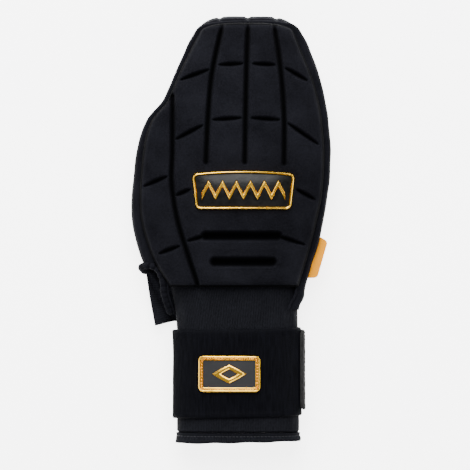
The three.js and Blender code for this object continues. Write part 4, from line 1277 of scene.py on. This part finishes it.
class MITT_OT_strap_badge(bpy.types.Operator):
    """Build the raised badge on the strap: gold rim with a roped line, matt field and gold lozenge"""
    bl_idname = "mitt.strap_badge"
    bl_label = "Strap Badge"

    def execute(self, context):
        def level(x, y):
            centre, reach, half = cuff_section(-y, GAP + STRAP_THICKNESS + 0.35 * MM)
            across = np.clip(np.abs(x - centre) / reach, 0, 1)
            rise = (1 - across ** CUFF_ROUNDNESS) ** (1 / CUFF_ROUNDNESS)
            return (CUFF_TOP + CUFF_BOTTOM) / 2 + half * rise

        rim = STRAP_BADGE["rim"]
        badge_rim("strap_badge", STRAP_BADGE, level, [(t * rim, height * MM) for t, height in STRAP_RIM])
        piece = badge_plate(
            "strap_badge", STRAP_BADGE, level, rim - 0.25 * MM, 1.25 * MM, 80, 40, dome=0.15 * MM)
        dress(piece, "matt_field", "strap_badge_field", "strap_badge_plate")
        self.rope(level)
        self.lozenge(level)
        return {"FINISHED"}

    def rope(self, level):
        """The fine roped line that lies in the rim's channel."""
        x, y = badge_line(STRAP_BADGE, 0.65 * STRAP_BADGE["rim"], 84).T
        places = stack(x, y, level(x, y) + 1.2 * MM)
        ahead = np.roll(places, -1, axis=0) - np.roll(places, 1, axis=0)
        twist = 1.3
        ahead[:, :2] = ahead[:, :2] + twist * np.stack([-ahead[:, 1], ahead[:, 0]], axis=-1)
        upwards = np.tile((0.0, 0.0, 1.0), (len(places), 1))
        piece = sew("mitt_strap_badge_rope", places, ahead, upwards, 1.5 * MM, 0.66 * MM, 1.3 * MM)
        dress(piece, "gold_foil", "gold_trim")

    def lozenge(self, level):
        """A raised open lozenge."""
        x0, y0 = STRAP_BADGE["place"]
        half_x, half_y, opening = 13.5 * MM, 7.5 * MM, 0.45
        around = 160
        heights = np.array([height * MM for _, height in LOZENGE])
        scale = np.array([mix(opening, 1, (size - 0.5) / 0.5) for size, _ in LOZENGE])

        def shape(i, j):
            turn = i / around * math.tau
            corner = np.abs(np.cos(turn)) + np.abs(np.sin(turn))
            soft = 0.94 + 0.06 * np.abs(np.sin(2 * turn))
            x = x0 + half_x * scale[j] * np.cos(turn) / corner * soft
            y = y0 + half_y * scale[j] * np.sin(turn) / corner * soft
            return stack(x, y, level(x, y) + heights[j])

        piece = ring("mitt_strap_badge_lozenge", around, len(LOZENGE), shape, (0.06, 8 * MM), angle=35)
        dress(piece, "gold_foil", "gold_trim", "strap_badge_motif")


class MITT_OT_side_tag(bpy.types.Operator):
    """Build the folded satin label in the side seam"""
    bl_idname = "mitt.side_tag"
    bl_label = "Side Tag"

    def execute(self, context):
        length, width, thickness, corner = 31 * MM, 17 * MM, 0.42 * MM, 2.2 * MM

        def side(u, v, outer):
            across = 2 * v - 1
            from_fold = np.abs(across)
            foot_x, foot_y = (mix(TAG_FOOT[0][k], TAG_FOOT[1][k], u) for k in (0, 1))
            fold_x, fold_y = (mix(TAG_FOLD[0][k], TAG_FOLD[1][k], u) for k in (0, 1))
            reach = np.hypot(fold_x - foot_x, fold_y - foot_y)
            cut = corner * (1 - round_off(np.minimum(u, 1 - u) * length / corner))
            push = thickness / 2 if outer else -thickness / 2
            tip = np.clip(1 - from_fold / 0.07, 0, 1)
            out = (1 - from_fold) * (1 - cut / reach) + push * tip / reach
            apart = thickness * np.sqrt(1 - tip ** 2) * np.sign(across)
            z = (TAG_BOTTOM + TAG_TOP) / 2 + apart + push * np.sign(across + 1e-9) * (1 - tip)
            z = z + 0.35 * MM * np.sin(math.pi * u) * (1 - from_fold)
            return stack(mix(foot_x, fold_x, out), mix(foot_y, fold_y, out), z)

        piece = wall("mitt_side_tag", 60, 60, side, (length, width))
        dress(piece, "tag_satin", "tag_fabric", "side_tag")
        return {"FINISHED"}


class MITT_OT_finishes(bpy.types.Operator):
    """Make the finishes that the pieces use"""
    bl_idname = "mitt.finishes"
    bl_label = "Finishes"

    def execute(self, context):
        colours = context.scene.mitt_colours
        make_shell_cloth(colours.shell)
        make_knit("ribbed_knit", colours.knit)
        # Painted light: a copy of the knit, 1.8 times lighter, for the heel panel, which lies in the pads'
        # shade.
        make_knit("painted_light_knit", shade(colours.knit, 1.8))
        make_elastic(colours.elastic)
        make_fleece(colours.fleece)
        make_gold(colours.gold)
        make_badge_field(colours.field)
        make_strap_field(colours.strap_field)
        make_tag_cloth(colours.tag)
        make_thread(colours.knit)
        return {"FINISHED"}


STEPS = (
    "stage", "finishes", "back_pad", "palm_pad", "side_gusset", "heel_panel", "cuff", "wrist_strap",
    "back_badge", "strap_badge", "side_tag",
)


class MITT_PT_sidebar(bpy.types.Panel):
    """Lists the steps that build the mitt"""
    bl_idname = "MITT_PT_sidebar"
    bl_label = "Sliding Mitt"
    bl_space_type = "VIEW_3D"
    bl_region_type = "UI"
    bl_category = "Mitt"

    def draw(self, context):
        for step in STEPS:
            self.layout.operator("mitt." + step)
        for group in (context.scene.mitt_pad, context.scene.mitt_cloth, context.scene.mitt_colours):
            for name in group.bl_rna.properties.keys():
                if name not in ("rna_type", "name"):
                    self.layout.prop(group, name)


GROUPS = {"mitt_pad": MittPadSizes, "mitt_cloth": MittClothSizes, "mitt_colours": MittColours}
CLASSES = (
    *GROUPS.values(), MITT_OT_stage, MITT_OT_finishes, MITT_OT_back_pad, MITT_OT_palm_pad,
    MITT_OT_side_gusset, MITT_OT_heel_panel, MITT_OT_cuff, MITT_OT_wrist_strap, MITT_OT_back_badge,
    MITT_OT_strap_badge, MITT_OT_side_tag, MITT_PT_sidebar,
)


def register():
    for made in CLASSES:
        bpy.utils.register_class(made)
    for name, group in GROUPS.items():
        setattr(bpy.types.Scene, name, bpy.props.PointerProperty(type=group))


def unregister():
    for name in GROUPS:
        delattr(bpy.types.Scene, name)
    for made in reversed(CLASSES):
        bpy.utils.unregister_class(made)


def main():
    register()
    for step in STEPS:
        getattr(bpy.ops.mitt, step)()


if __name__ == "__main__":
    main()
